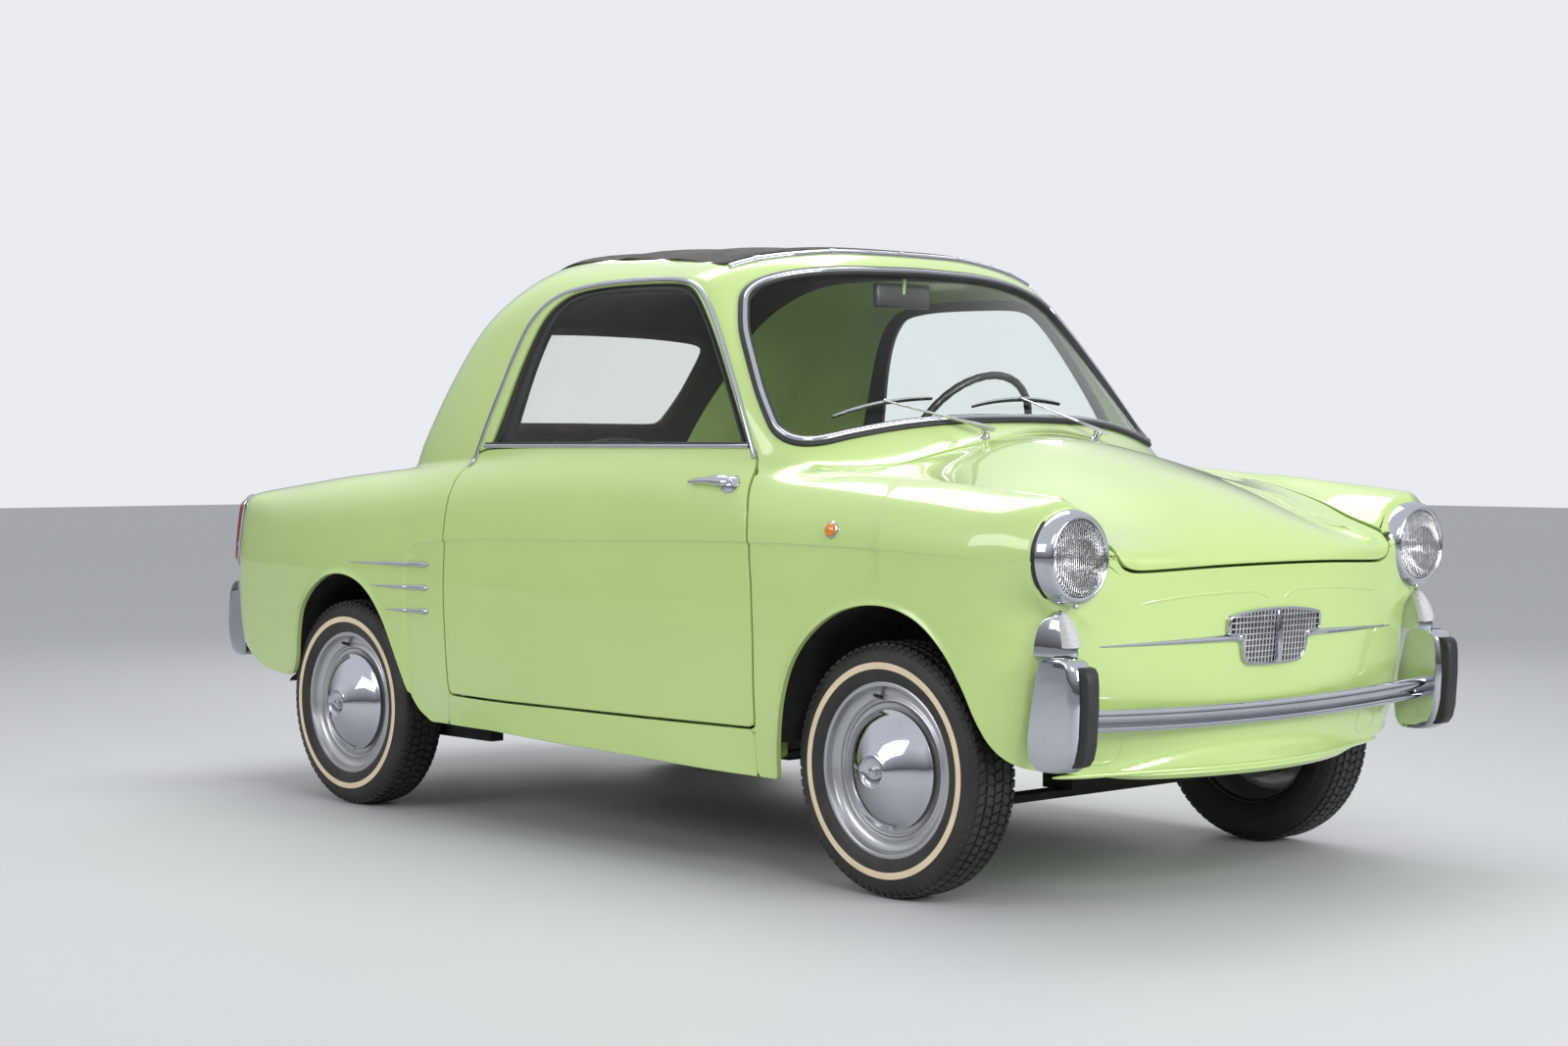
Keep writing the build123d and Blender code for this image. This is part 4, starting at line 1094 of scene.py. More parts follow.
def lathe(name, outline, place, axis, material, rides="body", steps=64, soft=35, **more):
    """A turned piece: a closed outline of (along, radius) spun about an axis through the place."""
    axis, place = Vector(axis).normalized(), Vector(place)
    side = axis.orthogonal().normalized()
    bpy.ops.mesh.primitive_circle_add(vertices=len(outline), radius=1)
    made = bpy.context.object
    for vertex, (along, radius) in zip(made.data.vertices, outline):
        vertex.co = place + axis * along + side * radius
    bpy.ops.object.mode_set(mode="EDIT")
    bpy.ops.mesh.select_all(action="SELECT")
    bpy.ops.mesh.spin(steps=steps, angle=2 * pi, center=place, axis=axis)
    bpy.ops.object.mode_set(mode="OBJECT")
    tidy_up(made, soft, .00002)
    return keep(made, name, material, rides, soft=soft, **more)


def block(name, low, high, material, bevel=.002, **more):
    """A box from two opposite corners, with rounded edges."""
    low, high = (Vector(each(a, b) for a, b in zip(low, high)) for each in (min, max))
    bpy.ops.mesh.primitive_cube_add(size=1, location=(low + high) / 2, scale=high - low)
    return keep(bpy.context.object, name, material, bevel=bevel, **more)


def rod(name, start, end, radius, material, rides="body", thin=None, vertices=20, **more):
    """A round bar from one point to another, which may taper."""
    start, end = Vector(start), Vector(end)
    bpy.ops.mesh.primitive_cone_add(vertices=vertices, radius1=radius, radius2=radius if thin is None else thin,
                                    depth=(end - start).length, location=(start + end) / 2,
                                    rotation=(end - start).to_track_quat("Z", "Y").to_euler())
    return keep(bpy.context.object, name, material, rides, **more)


def ball(name, place, radius, material, rides="body", stretch=(1, 1, 1), **more):
    bpy.ops.mesh.primitive_uv_sphere_add(segments=24, ring_count=14, radius=radius, location=place, scale=stretch)
    return keep(bpy.context.object, name, material, rides, soft=60, **more)


def fuse(pieces, name, rides="body", replaced=()):
    """Joins pieces into the first one, under a new name."""
    pick(*pieces)
    bpy.ops.object.join()
    pieces[0].name = pieces[0].data.name = name
    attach(pieces[0], rides)
    if replaced:
        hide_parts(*replaced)
    return pieces[0]


def copy_of(piece, name, move, rides="body"):
    """A copy of a piece whose mesh is moved."""
    made = piece.copy()
    made.data = piece.data.copy()
    made.data.transform(move)
    made.name = made.data.name = name
    bpy.context.scene.collection.objects.link(made)
    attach(made, rides)
    return made


def seat_of(line):
    """The first place of a line on the skin, and the way straight out from it."""
    return Vector(line[0]), Vector(slope(line)[0])


def tapered(t, sharp, least):
    """Sizes along a strip whose both ends run out, for places from 0 to 1."""
    return np.sqrt(np.clip(np.minimum(t, 1 - t) * sharp, least, 1))


# %% [markdown]
# ## Wheels
#
# Each wheel has a rubber tyre with a cream band, a silver steel rim and a chrome hub cap. All are turned
# pieces, and a spun outline is how a wheel is really made. The tread is not: its blocks are laid on the
# tyre one by one, in five rows and two shoulders, because a bump would leave the outline smooth.

# %% Outlines of the tyre, the rim and the cap
tyre_half = [(.046, .16), (.053, .168), (.0585, .178), (.0612, .186), (.0622, .194), (.063, .1955), (.0632, .2025),
    (.0628, .2085), (.0616, .2095), (.06, .22), (.0568, .2285), (.0525, .2355), (.0475, .24), (.04, .2428),
    (.03, .2436), (.01, .2438)]
rim_outline = [(.0535, .1715), (.0555, .169), (.056, .1655), (.0545, .1625), (.05, .1605), (.044, .159), (.039, .156),
    (.036, .151), (.0335, .146), (.033, .142), (.0345, .1385), (.037, .136), (.0375, .1335), (.036, .131),
    (.033, .129), (.0315, .125), (.0315, .119), (.033, .113), (.03, .1), (.03, .03), (.03, 0), (.026, 0), (.026, .1),
    (.028, .12), (.027, .13), (.025, .14), (.015, .144), (-.015, .144), (-.03, .15), (-.04, .158), (-.048, .162),
    (-.052, .168), (-.05, .1715), (-.044, .164), (-.03, .1545), (-.015, .148), (.015, .148), (.026, .15),
    (.033, .158), (.044, .164)]
cap_outline = [(.0395, .1165), (.0415, .1172), (.043, .116), (.044, .113), (.05, .108), (.061, .092), (.071, .074),
    (.08, .056), (.0875, .039), (.0895, .035), (.0912, .0325), (.0915, .0305), (.0905, .0285), (.087, .0265),
    (.085, .022), (.0848, .012), (.0848, 0), (.082, 0), (.082, .025), (.086, .037), (.078, .056), (.059, .092),
    (.04, .111)]
tread_rows = [((-.056, .231), (-.05, .239), .001, .55, 0), ((-.0478, .2404), (-.0345, .2434), .004, .74, 0),
              ((-.031, .2436), (-.0125, .2438), .0042, .8, .5)]
tread_rows = tread_rows + [((-.0095, .2438), (.0095, .2438), .0042, .8, 0)] + [
    ((-a2, r2), (-a1, r1), *more) for (a1, r1), (a2, r2), *more in tread_rows[::-1]]
tread_count = 76


def tread_blocks():
    """Points (along, radius, angle) and faces of all blocks of a tyre."""
    points, faces = [], []
    for row, ((a1, r1), (a2, r2), height, share, shift) in enumerate(tread_rows):
        long = sqrt((a2 - a1) ** 2 + (r2 - r1) ** 2)
        up_a, up_r = -(r2 - r1) / long * height, (a2 - a1) / long * height
        skew = (.22 if row % 2 else -.22) * (0 if height < .002 else 1)
        for i in range(tread_count):
            start = len(points)
            t1, t2 = i + shift + .5 * (1 - share), i + shift + .5 * (1 + share)
            ring = [(a1, r1, t1), (a2, r2, t1 + skew), (a2, r2, t2 + skew), (a1, r1, t2)]
            middle = [sum(p[k] for p in ring) / 4 for k in range(3)]
            points += [(a, r - .0008, t) for a, r, t in ring]
            for a, r, t in ring:
                a, r, t = (middle[k] + (v - middle[k]) * .93 for k, v in enumerate((a, r, t)))
                points.append((a + up_a, r + up_r, t))
            faces += [[start + k for k in f] for f in
                      ((4, 5, 6, 7), (0, 1, 5, 4), (1, 2, 6, 5), (2, 3, 7, 6), (3, 0, 4, 7), (3, 2, 1, 0))]
    return np.array(points), faces


# %% Making one wheel and copying it
wheel_place = centre_of("front_left_tyre")


def make_wheel():
    """The pieces of the front left wheel."""
    place, out, rides = wheel_place, Vector((0, 1, 0)), "front_left_wheel"
    outline = tyre_half + [(-a, r) for a, r in tyre_half[::-1]] + [(-.038, .1565), (.038, .1565)]
    tyre = lathe("tyre_shell", outline, place, out, tyre_rubber, rides, steps=96, soft=30)
    tyre.data.materials.append(whitewall)
    for face in tyre.data.polygons:
        off = Vector(face.center) - place
        if off.y > .06 and .1955 < Vector((off.x, 0, off.z)).length < .2088:
            face.material_index = 1
    points, faces = tread_blocks()
    turn = points[:, 2] * 2 * pi / tread_count
    blocks = np.stack([place.x + points[:, 1] * np.cos(turn), place.y + points[:, 0],
                       place.z + points[:, 1] * np.sin(turn)], 1)
    tread = add_mesh("tread", blocks, faces, tyre_rubber, rides, smooth=False)
    tidy_up(tread, 25)
    tyre = fuse([tyre, tread], "tyre_shell", rides)
    rim = lathe("wheel_rim", rim_outline, place, out, wheel_silver, rides, steps=80)
    cap = lathe("hub_cap", cap_outline, place, out, chrome, rides, steps=80)
    nut = rod("cap_nut", place + out * .084, place + out * .0905, .0105, dull_chrome, rides, vertices=6, bevel=.001)
    bolt = lathe("cap_bolt", [(.089, .0065), (.0925, .006), (.0932, .003), (.0932, 0), (.089, 0)], place, out, chrome,
                 rides, steps=20)
    stem = place + Vector((.03, 0, .137))
    valve = rod("valve", stem + out * .03, stem + out * .052 + Vector((.002, 0, .006)), .0042, rubber, rides,
                thin=.0034, vertices=12, bevel=.0008)
    drum = lathe("drum", [(.024, 0), (.024, .098), (.018, .104), (-.03, .106), (-.034, .11), (-.04, .11), (-.04, 0)],
                 place, out, bare_steel, rides, steps=48)
    return [tyre, rim, cap, nut, bolt, valve, drum]


wheel_pieces = make_wheel()
for corner in ("front_left", "front_right", "rear_left", "rear_right"):
    place = centre_of(f"{corner}_tyre")
    turned = Matrix.Rotation(pi if "right" in corner else 0, 4, "Z")
    move = Matrix.Translation(place) @ turned @ Matrix.Translation(-wheel_place)
    made = [copy_of(piece, f"{corner}_{piece.name}", move, f"{corner}_wheel") for piece in wheel_pieces]
    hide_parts(f"{corner}_tyre")
    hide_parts(f"{corner}_rim")
    print(corner, "wheel at", [round(v, 4) for v in place])
for piece in wheel_pieces:
    bpy.data.objects.remove(piece)

# %% [markdown]
# ## Lamps
#
# A headlamp is a deep chrome bezel round a fluted glass, with a bright dished reflector and a bulb behind
# it. The glass refracts what it covers, so the reflector has to be there. The side lamp below it is a
# drop-shaped chrome shell with a clear lens, made as a loft through level sections.

# %% Headlamps
bezel_outline = [(-.012, .09), (-.004, .0945), (.001, .0965), (.012, .0968), (.022, .095), (.03, .0925),
    (.0355, .089), (.0385, .085), (.0395, .0815), (.0385, .0785), (.036, .0765), (.0345, .0785), (.028, .084),
    (-.012, .086)]
lens_outline = [(.031, .078), (.0345, .0785), (.0372, .076), (.0395, .0735), (.0405, .07), (.0432, .056),
    (.045, .038), (.046, .019), (.0463, 0), (.0433, 0), (.043, .019), (.042, .038), (.04, .056), (.037, .072)]
bulb_outline = [(-.03, .01), (-.01, .0095), (-.006, .008), (.004, .0075), (.009, .005), (.01, 0), (-.03, 0)]
seal_outline = [(-.004, .084), (-.002, .0925), (.002, .093), (.004, .0905), (.003, .084)]
reflector_outline = [(.03, .0765), (.022, .0745), (.008, .066), (-.006, .054), (-.018, .04), (-.026, .025),
    (-.029, .012), (-.03, 0), (-.033, 0), (-.032, .014), (-.028, .027), (-.02, .042), (-.008, .0565), (.006, .069),
    (.02, .0775)]


def x_on_nose(y, z):
    """Where the skin of the nose is, seen from the front."""
    start = np.stack(np.broadcast_arrays(before, np.atleast_1d(y), z), 1)
    return drop(start, (-1, 0, 0), .6)[:, 0]


lamp_scale = .93
mirror_silver = finish("mirror_silver", (.93, .93, .94), .1, .02, metal=1)
for side, sign in sides:
    place = (lamp_place[0], sign * lamp_place[1], lamp_place[2])
    for name, outline, scale, material, steps, more in (
            ("bezel", bezel_outline, lamp_scale, chrome, 80, {"replaced": ("headlamps",)}),
            ("glass", lens_outline, lamp_scale, lamp_glass, 64, {"slot": "lens"}),
            ("reflector", reflector_outline, lamp_scale, mirror_silver, 64, {}),
            ("bulb", bulb_outline, 1, dull_chrome, 24, {}), ("seal", seal_outline, 1, rubber, 72, {})):
        outline = [(along, radius * scale) for along, radius in outline]
        lathe(f"{side}_lamp_{name}", outline, place, (1, 0, 0), material, steps=steps, **more)
    ball(f"{side}_lamp_screw", (place[0] + .026, place[1], place[2] - .0885), .006, chrome, stretch=(.9, 1, .9))

# %% Side lamps
def level_ring(z, half, front, centre, sign, depth=None):
    """A level section, round in front: its back lies on the skin, or a depth behind its front."""
    turn = np.linspace(-pi / 2, pi / 2, 17)
    y = sign * np.concatenate([centre + half * np.sin(turn), centre + half * np.array([.6, 0, -.6])])
    base = x_on_nose(y, z) - .004 if depth is None else np.full(len(y), front - depth)
    round_front = np.concatenate([np.maximum(np.cos(turn), 0) ** .55, np.zeros(3)])
    return np.stack([base + (front - base) * round_front, y, np.full(len(y), z)], 1)


side_lamp_levels = [(.4875, .0225, 1.439), (.496, .0228, 1.4405), (.515, .0218, 1.438), (.535, .0195, 1.4315),
    (.552, .016, 1.4225), (.564, .011, 1.413), (.571, .005, 1.404), (.5735, .0015, 1.399)]
side_lens_levels = [(.502, .015, 1.433), (.505, .0205, 1.4375), (.515, .0212, 1.438), (.535, .0192, 1.4318),
    (.552, .0158, 1.4228), (.563, .0112, 1.414), (.569, .0055, 1.407)]
for side, sign in sides:
    loft(f"{side}_side_lamp_shell", [level_ring(z, half, front, .566, sign) for z, half, front in side_lamp_levels],
         chrome, soft=50, replaced=("side_lamps",))
    lens = [level_ring(z, half * .93, front + .0022, .5645, sign, depth=.02 if z < .56 else .014)
            for z, half, front in side_lens_levels]
    loft(f"{side}_side_lamp_lens", lens, side_lamp_glass, soft=50, slot="lens")

# %% [markdown]
# ## Front bumper and overriders
#
# The bumper is one pressed bar with a rounded upper part and a thin lip below it. Its ends go behind the
# overriders, tall chrome shells that fit the body's corner and carry a black rubber buffer in front.

# %% Front bumper
def bumper(name, line, **more):
    """The bar's section of (height, forward), swept along a line that runs across the car."""
    ahead = 1 if line[0][0] > 0 else -1
    section = [(-h * ahead, f) for h, f in bar_section]
    return sweep(name, line, (ahead, 0, 0), section, chrome, soft=55, slot="chrome", **more)


bar_section = [(.022, -.01), (.0232, -.002), (.0218, .005), (.0175, .0098), (.0105, .0125), (.003, .0112),
    (-.0025, .007), (-.0055, .001), (-.008, 0), (-.0102, .0036), (-.014, .0072), (-.0185, .0068), (-.0215, .002),
    (-.0218, -.006), (-.019, -.01)]
front_line = [(1.4525 - .0443 * y * y, y, .3565 + .0443 * y * y) for y in np.linspace(-.552, .552, 81)]
bumper("front_bumper_bar", front_line, replaced=("front_bumper",))
for side, sign in sides:
    block(f"{side}_bumper_bracket", (1.36, sign * .3 - .012, .345), (1.446, sign * .3 + .012, .365), underseal)

# %% Overriders
def overrider_ring(z, back, front, inner, outer, sign, corner):
    """A level section: flat behind, with two rounded front corners."""
    ring = []
    for centre_y, start in ((outer - corner, pi / 2), (inner + corner, 0)):
        for t in np.linspace(start, start - pi / 2, 7):
            ring.append((front - corner + corner * cos(t), sign * (centre_y + corner * sin(t)), z))
    for y in (inner, (inner + outer) / 2, outer):
        ring.append((min(back, front - corner * 1.2), sign * y, z))
    return ring


overrider_levels = [(.278, 1.388, 1.428), (.28, 1.376, 1.441), (.287, 1.368, 1.453), (.3, 1.362, 1.4615),
    (.322, 1.36, 1.468), (.346, 1.362, 1.472), (.4, 1.37, 1.4745), (.44, 1.378, 1.4735), (.465, 1.384, 1.47),
    (.478, 1.388, 1.464), (.4845, 1.392, 1.456), (.487, 1.398, 1.444)]
buffer_levels = [(.29, 1.46), (.293, 1.469), (.306, 1.479), (.33, 1.485), (.4, 1.49), (.445, 1.4895), (.462, 1.487),
    (.47, 1.481), (.4725, 1.472)]
for side, sign in sides:
    rings = [overrider_ring(z, back, front, .547 + .004 * abs(z - .38) / .1,
                            .61 - .01 * max(0, (.34 - z) / .06) ** 2, sign, .019)
             for z, back, front in overrider_levels]
    loft(f"{side}_overrider", rings, chrome, soft=45, replaced=("front_overriders",))
    buffer = [overrider_ring(z, front - .03, front, .556, .593, sign, .008) for z, front in buffer_levels]
    loft(f"{side}_overrider_buffer", buffer, rubber)

# %% [markdown]
# ## Grille badge and side strips
#
# A small die-cast grille, wide at its top and narrow below, has fine bright bars over a dark back. The
# bars are copies of two boxes, stretched to the outline. Two strips run out from it to a point.

# %% Grille
grille_half = [(0, .556), (.05, .555), (.1, .5505), (.136, .544), (.1425, .536), (.143, .518), (.137, .5105),
    (.108, .5085), (.102, .502), (.098, .48), (.09, .461), (.076, .453), (.04, .4505), (0, .45)]
grille_loop = np.array(both_sides(grille_half))
grille_silver = finish("grille_silver", (.7, .7, .71), .22, .08, 40, metal=.85)


def on_nose(y, z, lift):
    return Vector((x_on_nose(y, z)[0] + lift, y, z))


def nose_rows(y, z):
    return np.stack([x_on_nose(y, z), y, z], 1)


def crossings(loop, axis, value):
    """The places where a line crosses a loop, from low to high."""
    ends = []
    for (a, b), (c, d) in zip(loop, np.roll(loop, -1, 0)):
        p, q, r, s = (a, b, c, d) if axis == 0 else (b, a, d, c)
        if (p - value) * (r - value) < 0:
            ends.append(q + (s - q) * (value - p) / (r - p))
    return sorted(ends)


back_points = np.concatenate([nose_rows(*grille_loop.T) + (lift, 0, 0) for lift in (-.003, .0045)])
count = len(grille_loop)
back_faces = [list(range(count)), list(range(count, 2 * count))[::-1]]
back_faces += [[i, (i + 1) % count, (i + 1) % count + count, i + count] for i in range(count)]
tidy_up(add_mesh("grille_back", back_points, back_faces, black_plastic, replaced=("grille",), smooth=False))


def stretched_copy(piece, low, high):
    """A copy of a box whose ends are moved: its lower half to one place, its upper half to another."""
    made = copy_of(piece, "bar", Matrix())
    for vertex in made.data.vertices:
        vertex.co += low if vertex.co.z < 0 else high
    return made


upright = block("bar", (-.0024, -.0018, -.002), (.0024, .0018, .002), grille_silver, bevel=.0006)
level = block("bar", (-.0024, -.0015, -.0012), (.0016, .0015, .0012), grille_silver, bevel=.0004)
bars = []
for y in np.linspace(-.136, .136, 27):
    ends = crossings(grille_loop, 0, y)
    if len(ends) > 1 and abs(y) > .005:
        bars.append(stretched_copy(upright, on_nose(y, ends[0] + .002, .0062), on_nose(y, ends[-1] - .002, .0062)))
for z in np.linspace(.4632, .5436, 8):
    ends = crossings(grille_loop, 1, z)
    bars.append(stretched_copy(level, *[on_nose(0, z, .0052)] * 2))
    for vertex in bars[-1].data.vertices:
        vertex.co.y += ends[0] + .001 if vertex.co.y < 0 else ends[-1] - .001
for sample in (upright, level):
    bpy.data.objects.remove(sample)
fuse(bars, "grille_bars")
rim_line = evenly(np.array([on_nose(y, z, .004) for y, z in smooth_line(grille_loop)]), .004, closed=True)
sweep("grille_rim", rim_line, (1.0, 0, 0), bar_profile(.0034, .0062, .006), chrome, closed=True)
for name, half, low, high, material, bevel in (
        ("grille_middle", .006, (.452, .004), (.5535, .0125), chrome, .0015),
        ("grille_middle_inlay", .0032, (.464, .01), (.542, .0132), black_plastic, .0006)):
    aside = Vector((0, half, 0))
    block(name, on_nose(0, *low) - aside, on_nose(0, *high) + aside, material, bevel=bevel)

# %% Pressed lines of the nose
brow = [(.024, .576), (.044, .5855), (.066, .591), (.095, .5925), (.15, .592), (.245, .589), (.32, .583),
    (.372, .5765)]
drain = [(.46, .345), (.46, .3), (.454, .286), (.44, .279), (.418, .277), (.396, .279), (.382, .286), (.376, .3),
    (.376, .345)]
pressing = [(-.0048, -.0012), (-.0018, .0016), (.0018, .0016), (.0048, -.0012)]
for side, sign in sides:
    for name, points in (("brow", brow), ("drain", drain)):
        line = nose_rows(*smooth_line([(sign * y, z) for y, z in points], closed=False).T)
        size = tapered(np.linspace(0, 1, len(line)), 12, .04)
        sweep(f"{side}_nose_{name}", line, slope(line), pressing, paint, size=size, soft=70)
half = [(y, .2555) for y in (0, .1, .2, .3, .4, .47, .515)]
line = nose_rows(*smooth_line([(-y, z) for y, z in half[:0:-1]] + half, closed=False).T)
sweep("nose_lower_lip", line, slope(line), [(-.005, -.003), (-.0048, .003), (-.002, .0058), (.002, .0058),
                                            (.0048, .003), (.005, -.003)],
      paint, size=tapered(np.linspace(0, 1, len(line)), 9, .04), soft=60)
print("the nose has its pressed lines and a folded lip")

# %% Strips beside the grille
strip_start, strip_end = .098, .462
strip_section = [(-.0078, -.003), (-.0084, .001), (-.005, .0062), (0, .0092), (.005, .0062), (.0084, .001),
    (.0078, -.003)]
for side, sign in sides:
    t = np.linspace(0, 1, 60)
    y, z = sign * (strip_start + (strip_end - strip_start) * t), .5035 - .0035 * t
    size = 1 - .8 * t ** .9
    size[-1] = .12
    line = nose_rows(y, z)
    sweep(f"{side}_grille_strip", line, slope(line), strip_section, chrome, size=size, soft=25)
    ball(f"{side}_strip_end", on_nose(sign * .108, .504, .004), .0095, chrome, stretch=(.8, 1.3, .95))

# %% [markdown]
# ## Small parts on the sides
#
# Three die-cast spears behind each door, an amber repeater on the wing and a chrome lever on the door.
# Each is set on the skin where the function says that it is, so nothing floats or sinks.

# %% Spears, repeaters and door handles
spears = ((-.449, -.781, .596, .004), (-.449, -.687, .542, .002), (-.449, -.624, .488, .002))
spear_section = [(-.0078, -.003), (-.0074, .003), (-.004, .008), (0, .0092), (.004, .008), (.0074, .003),
    (.0078, -.003)]
repeater_base = [(-.003, .0168), (.0015, .0172), (.0035, .0158), (.004, .014), (-.003, .013)]
repeater_lens = [(-.001, .0142), (.005, .014), (.0088, .0118), (.0108, .0075), (.0113, 0), (-.001, 0)]
rosette_outline = [(-.002, .0205), (.002, .021), (.005, .0185), (.0095, .013), (.0125, .008), (.013, 0), (-.002, 0)]
lever_section = [(.0095 * cos(a), .0055 * sin(a)) for a in np.arange(14) * 2 * pi / 14]
for side, sign in sides:
    for i, (front, rear, z, fall) in enumerate(spears):
        t = np.linspace(0, 1, 44)
        line = side_line(front + (rear - front) * t, z - fall * t, sign)
        size = np.clip(1 - .85 * t, .12, 1) * np.sqrt(np.clip(t * 16, .1, 1))
        sweep(f"{side}_spear_{i}", line, slope(line), spear_section, chrome, size=size, soft=50)
    place, out = seat_of(side_line(.893, .708, sign))
    lathe(f"{side}_repeater_base", repeater_base, place, out, chrome, steps=40)
    lathe(f"{side}_repeater_lens", repeater_lens, place, out, amber, steps=40)

    door = f"{side}_door"
    seats = side_line([.574, .45], .793, sign)
    base, normal = seat_of(seats)
    rosette = lathe(f"{side}_handle_rosette", rosette_outline, base, normal, chrome, door, steps=40)
    for vertex in rosette.data.vertices:
        vertex.co.x = base.x + (vertex.co.x - base.x) * 1.15
    t = np.linspace(0, 1, 22)
    rise = .012 + .006 * np.sin(pi * t) - .004 * t
    line = seats[0] + (seats[1] - seats[0]) * t[:, None] + np.array(normal) * rise[:, None] + (.008, 0, 0)
    size = np.interp(t, [0, .1, .3, .5, .9, 1], [.55, 1.3, 1.25, .72, .58, .3])
    sweep(f"{side}_handle_lever", line, normal, lever_section, chrome, door, size=size, soft=60,
          replaced=(f"{side}_door_handle",))
    ball(f"{side}_handle_button", base + normal * .0135 + Vector((.01, 0, 0)), .0062, chrome, door, (1, .8, 1))

# %% [markdown]
# ## Wipers
#
# A chrome knob on the scuttle carries a flat arm head, a thin arm and a blade that lies on the glass.

# %% Wipers
knob_outline = [(-.004, .0125), (.002, .012), (.005, .0085), (.012, .0075), (.014, .0095), (.018, .01), (.022, .008),
    (.024, 0), (-.004, 0)]
rubber_section = [(-.0012, 0), (-.0022, .006), (.0022, .006), (.0012, 0)]
bridge_section = [(-.0034, 0), (-.0028, .0055), (.0028, .0055), (.0034, 0)]
head_section = [(-.0085, -.0045), (-.0075, .0035), (.0075, .0035), (.0085, -.0045)]
for name, pivot, start, end in (("right", (.838, -.165), (.69, -.463), (.739, -.223)),
                                ("left", (.838, .185), (.771, -.135), (.761, .15))):
    foot, normal = seat_of(on_skin(*pivot, above, (0, 0, -1), 1.2))
    lathe(f"{name}_wiper_pivot", knob_outline, foot, normal, chrome, steps=32)
    t = np.linspace(0, 1, 40)
    line = on_skin(*(a + (b - a) * t for a, b in zip(start, end)), above, (0, 0, -1), 1.2)
    out = slope(line)
    sweep(f"{name}_wiper_rubber", line + out * .003, out, rubber_section, rubber)
    size = .35 + .65 * np.sin(pi * t) ** .5
    sweep(f"{name}_wiper_bridge", line + out * .0085, out, bridge_section, dull_chrome, size=size)
    up = Vector(out[20])
    middle, head = Vector(line[20]) + up * .015, foot + normal * .024
    way = (middle - head).normalized()
    rod(f"{name}_wiper_arm", head + way * .02, middle, .003, dull_chrome, thin=.0022, vertices=12)
    sweep(f"{name}_wiper_head", [head + way * far for far in (-.022, -.012, 0, .03, .052, .058)], normal,
          head_section, dull_chrome, size=[.5, .9, 1, .8, .5, .3])
    rod(f"{name}_wiper_hinge", middle - up * .009, middle + up * .002, .0045, dull_chrome, vertices=12, bevel=.0008)

# %% [markdown]
# ## Rear end
#
# Tall red lamps curve round the corners in a chrome frame. The rear has the same overriders as the front,
# a plain bar between them, slots in the engine lid for cooling air, and one tail pipe.

# %% Tail lamps
def oval(wide, high):
    return [(.026 * cos(a) * wide, .015 * sin(a) * high) for a in np.linspace(-.25, pi + .25, 19)]


for side, sign in sides:
    t = np.linspace(0, 1, 46)
    line = on_skin(behind, sign * .572, np.linspace(.556, .742, 46), (1, 0, 0), .7)
    out = slope(line)
    sweep(f"{side}_tail_lamp_frame", line - out * .001, out, oval(1, .62), chrome, size=tapered(t, 14, .08), soft=60,
          replaced=("tail_lamps",))
    proud = line + out * .001
    inner, band = slice(4, -4), slice(14, 17)
    size = np.sqrt(np.clip(np.minimum(t[inner] - t[3], t[-4] - t[inner]) * 16, .1, 1))
    sweep(f"{side}_tail_lamp_lens", proud[inner], out[inner], oval(.86, .92), red_glass, size=size, soft=60,
          slot="red_lens")
    sweep(f"{side}_tail_lamp_band", proud[band], out[band], oval(.92, 1), chrome, soft=60)

# %% Rear bumper and overriders
bumper("rear_bumper_bar", [(-1.452 + .06 * y * y, y, .414) for y in np.linspace(-.535, .535, 61)],
       replaced=("rear_bumper",))
rear_overrider_levels = [(.33, 1.372, 1.405), (.333, 1.365, 1.424), (.345, 1.36, 1.44), (.37, 1.362, 1.452),
    (.405, 1.37, 1.458), (.45, 1.38, 1.456), (.49, 1.388, 1.448), (.512, 1.392, 1.436), (.52, 1.396, 1.42)]
rear_buffer_levels = [(.35, 1.44), (.354, 1.449), (.37, 1.46), (.405, 1.468), (.45, 1.466), (.485, 1.459), (.5, 1.45),
    (.503, 1.44)]


def turned_back(ring):
    return [(-x, y, z) for x, y, z in ring]


for side, sign in sides:
    rings = [turned_back(overrider_ring(z, back, front, .532, .59, sign, .018))
             for z, back, front in rear_overrider_levels]
    loft(f"{side}_rear_overrider", rings, chrome, soft=45, replaced=("rear_overriders",))
    buffer = [turned_back(overrider_ring(z, front - .026, front, .541, .576, sign, .008))
              for z, front in rear_buffer_levels]
    loft(f"{side}_rear_buffer", buffer, rubber)

# %% Engine lid: cooling slots and handle
louvre_section = [(-.0075, -.001), (-.005, .0062), (.001, .0074), (.0062, .001), (.0064, -.001)]
louvres = []
for row in range(7):
    for sign in (-1, 1):
        line = on_skin(behind, sign * np.linspace(.075, .245, 24), lid_low[2] + .055 + row * .02, (1, 0, 0), .7)
        louvres.append(sweep("lid_louvre", line, slope(line), louvre_section, paint, "engine_lid",
                             size=tapered(np.linspace(0, 1, 24), 9, .05)))
fuse(louvres, "engine_lid_louvres", "engine_lid")
place, normal = seat_of(on_skin(behind, 0, lid_low[2] + .028, (1, 0, 0), .7))
lathe("engine_lid_catch", [(-.002, .015), (.003, .0148), (.006, .011), (.01, .01), (.0115, .007), (.012, 0),
                           (-.002, 0)], place, normal, chrome, "engine_lid", steps=32)

# %% [markdown]
# ## Under the skin
#
# The wheels turn in dark tunnels, and the floor, the luggage tub in the nose and the rear bulkhead close
# the body. They are seen through an open door or bonnet, so they are plain pressed pieces with real
# thickness. A tunnel is the outline of its wheel arch carried inwards to an upright wall.

# %% Wheel tunnels
tunnel_low = .285


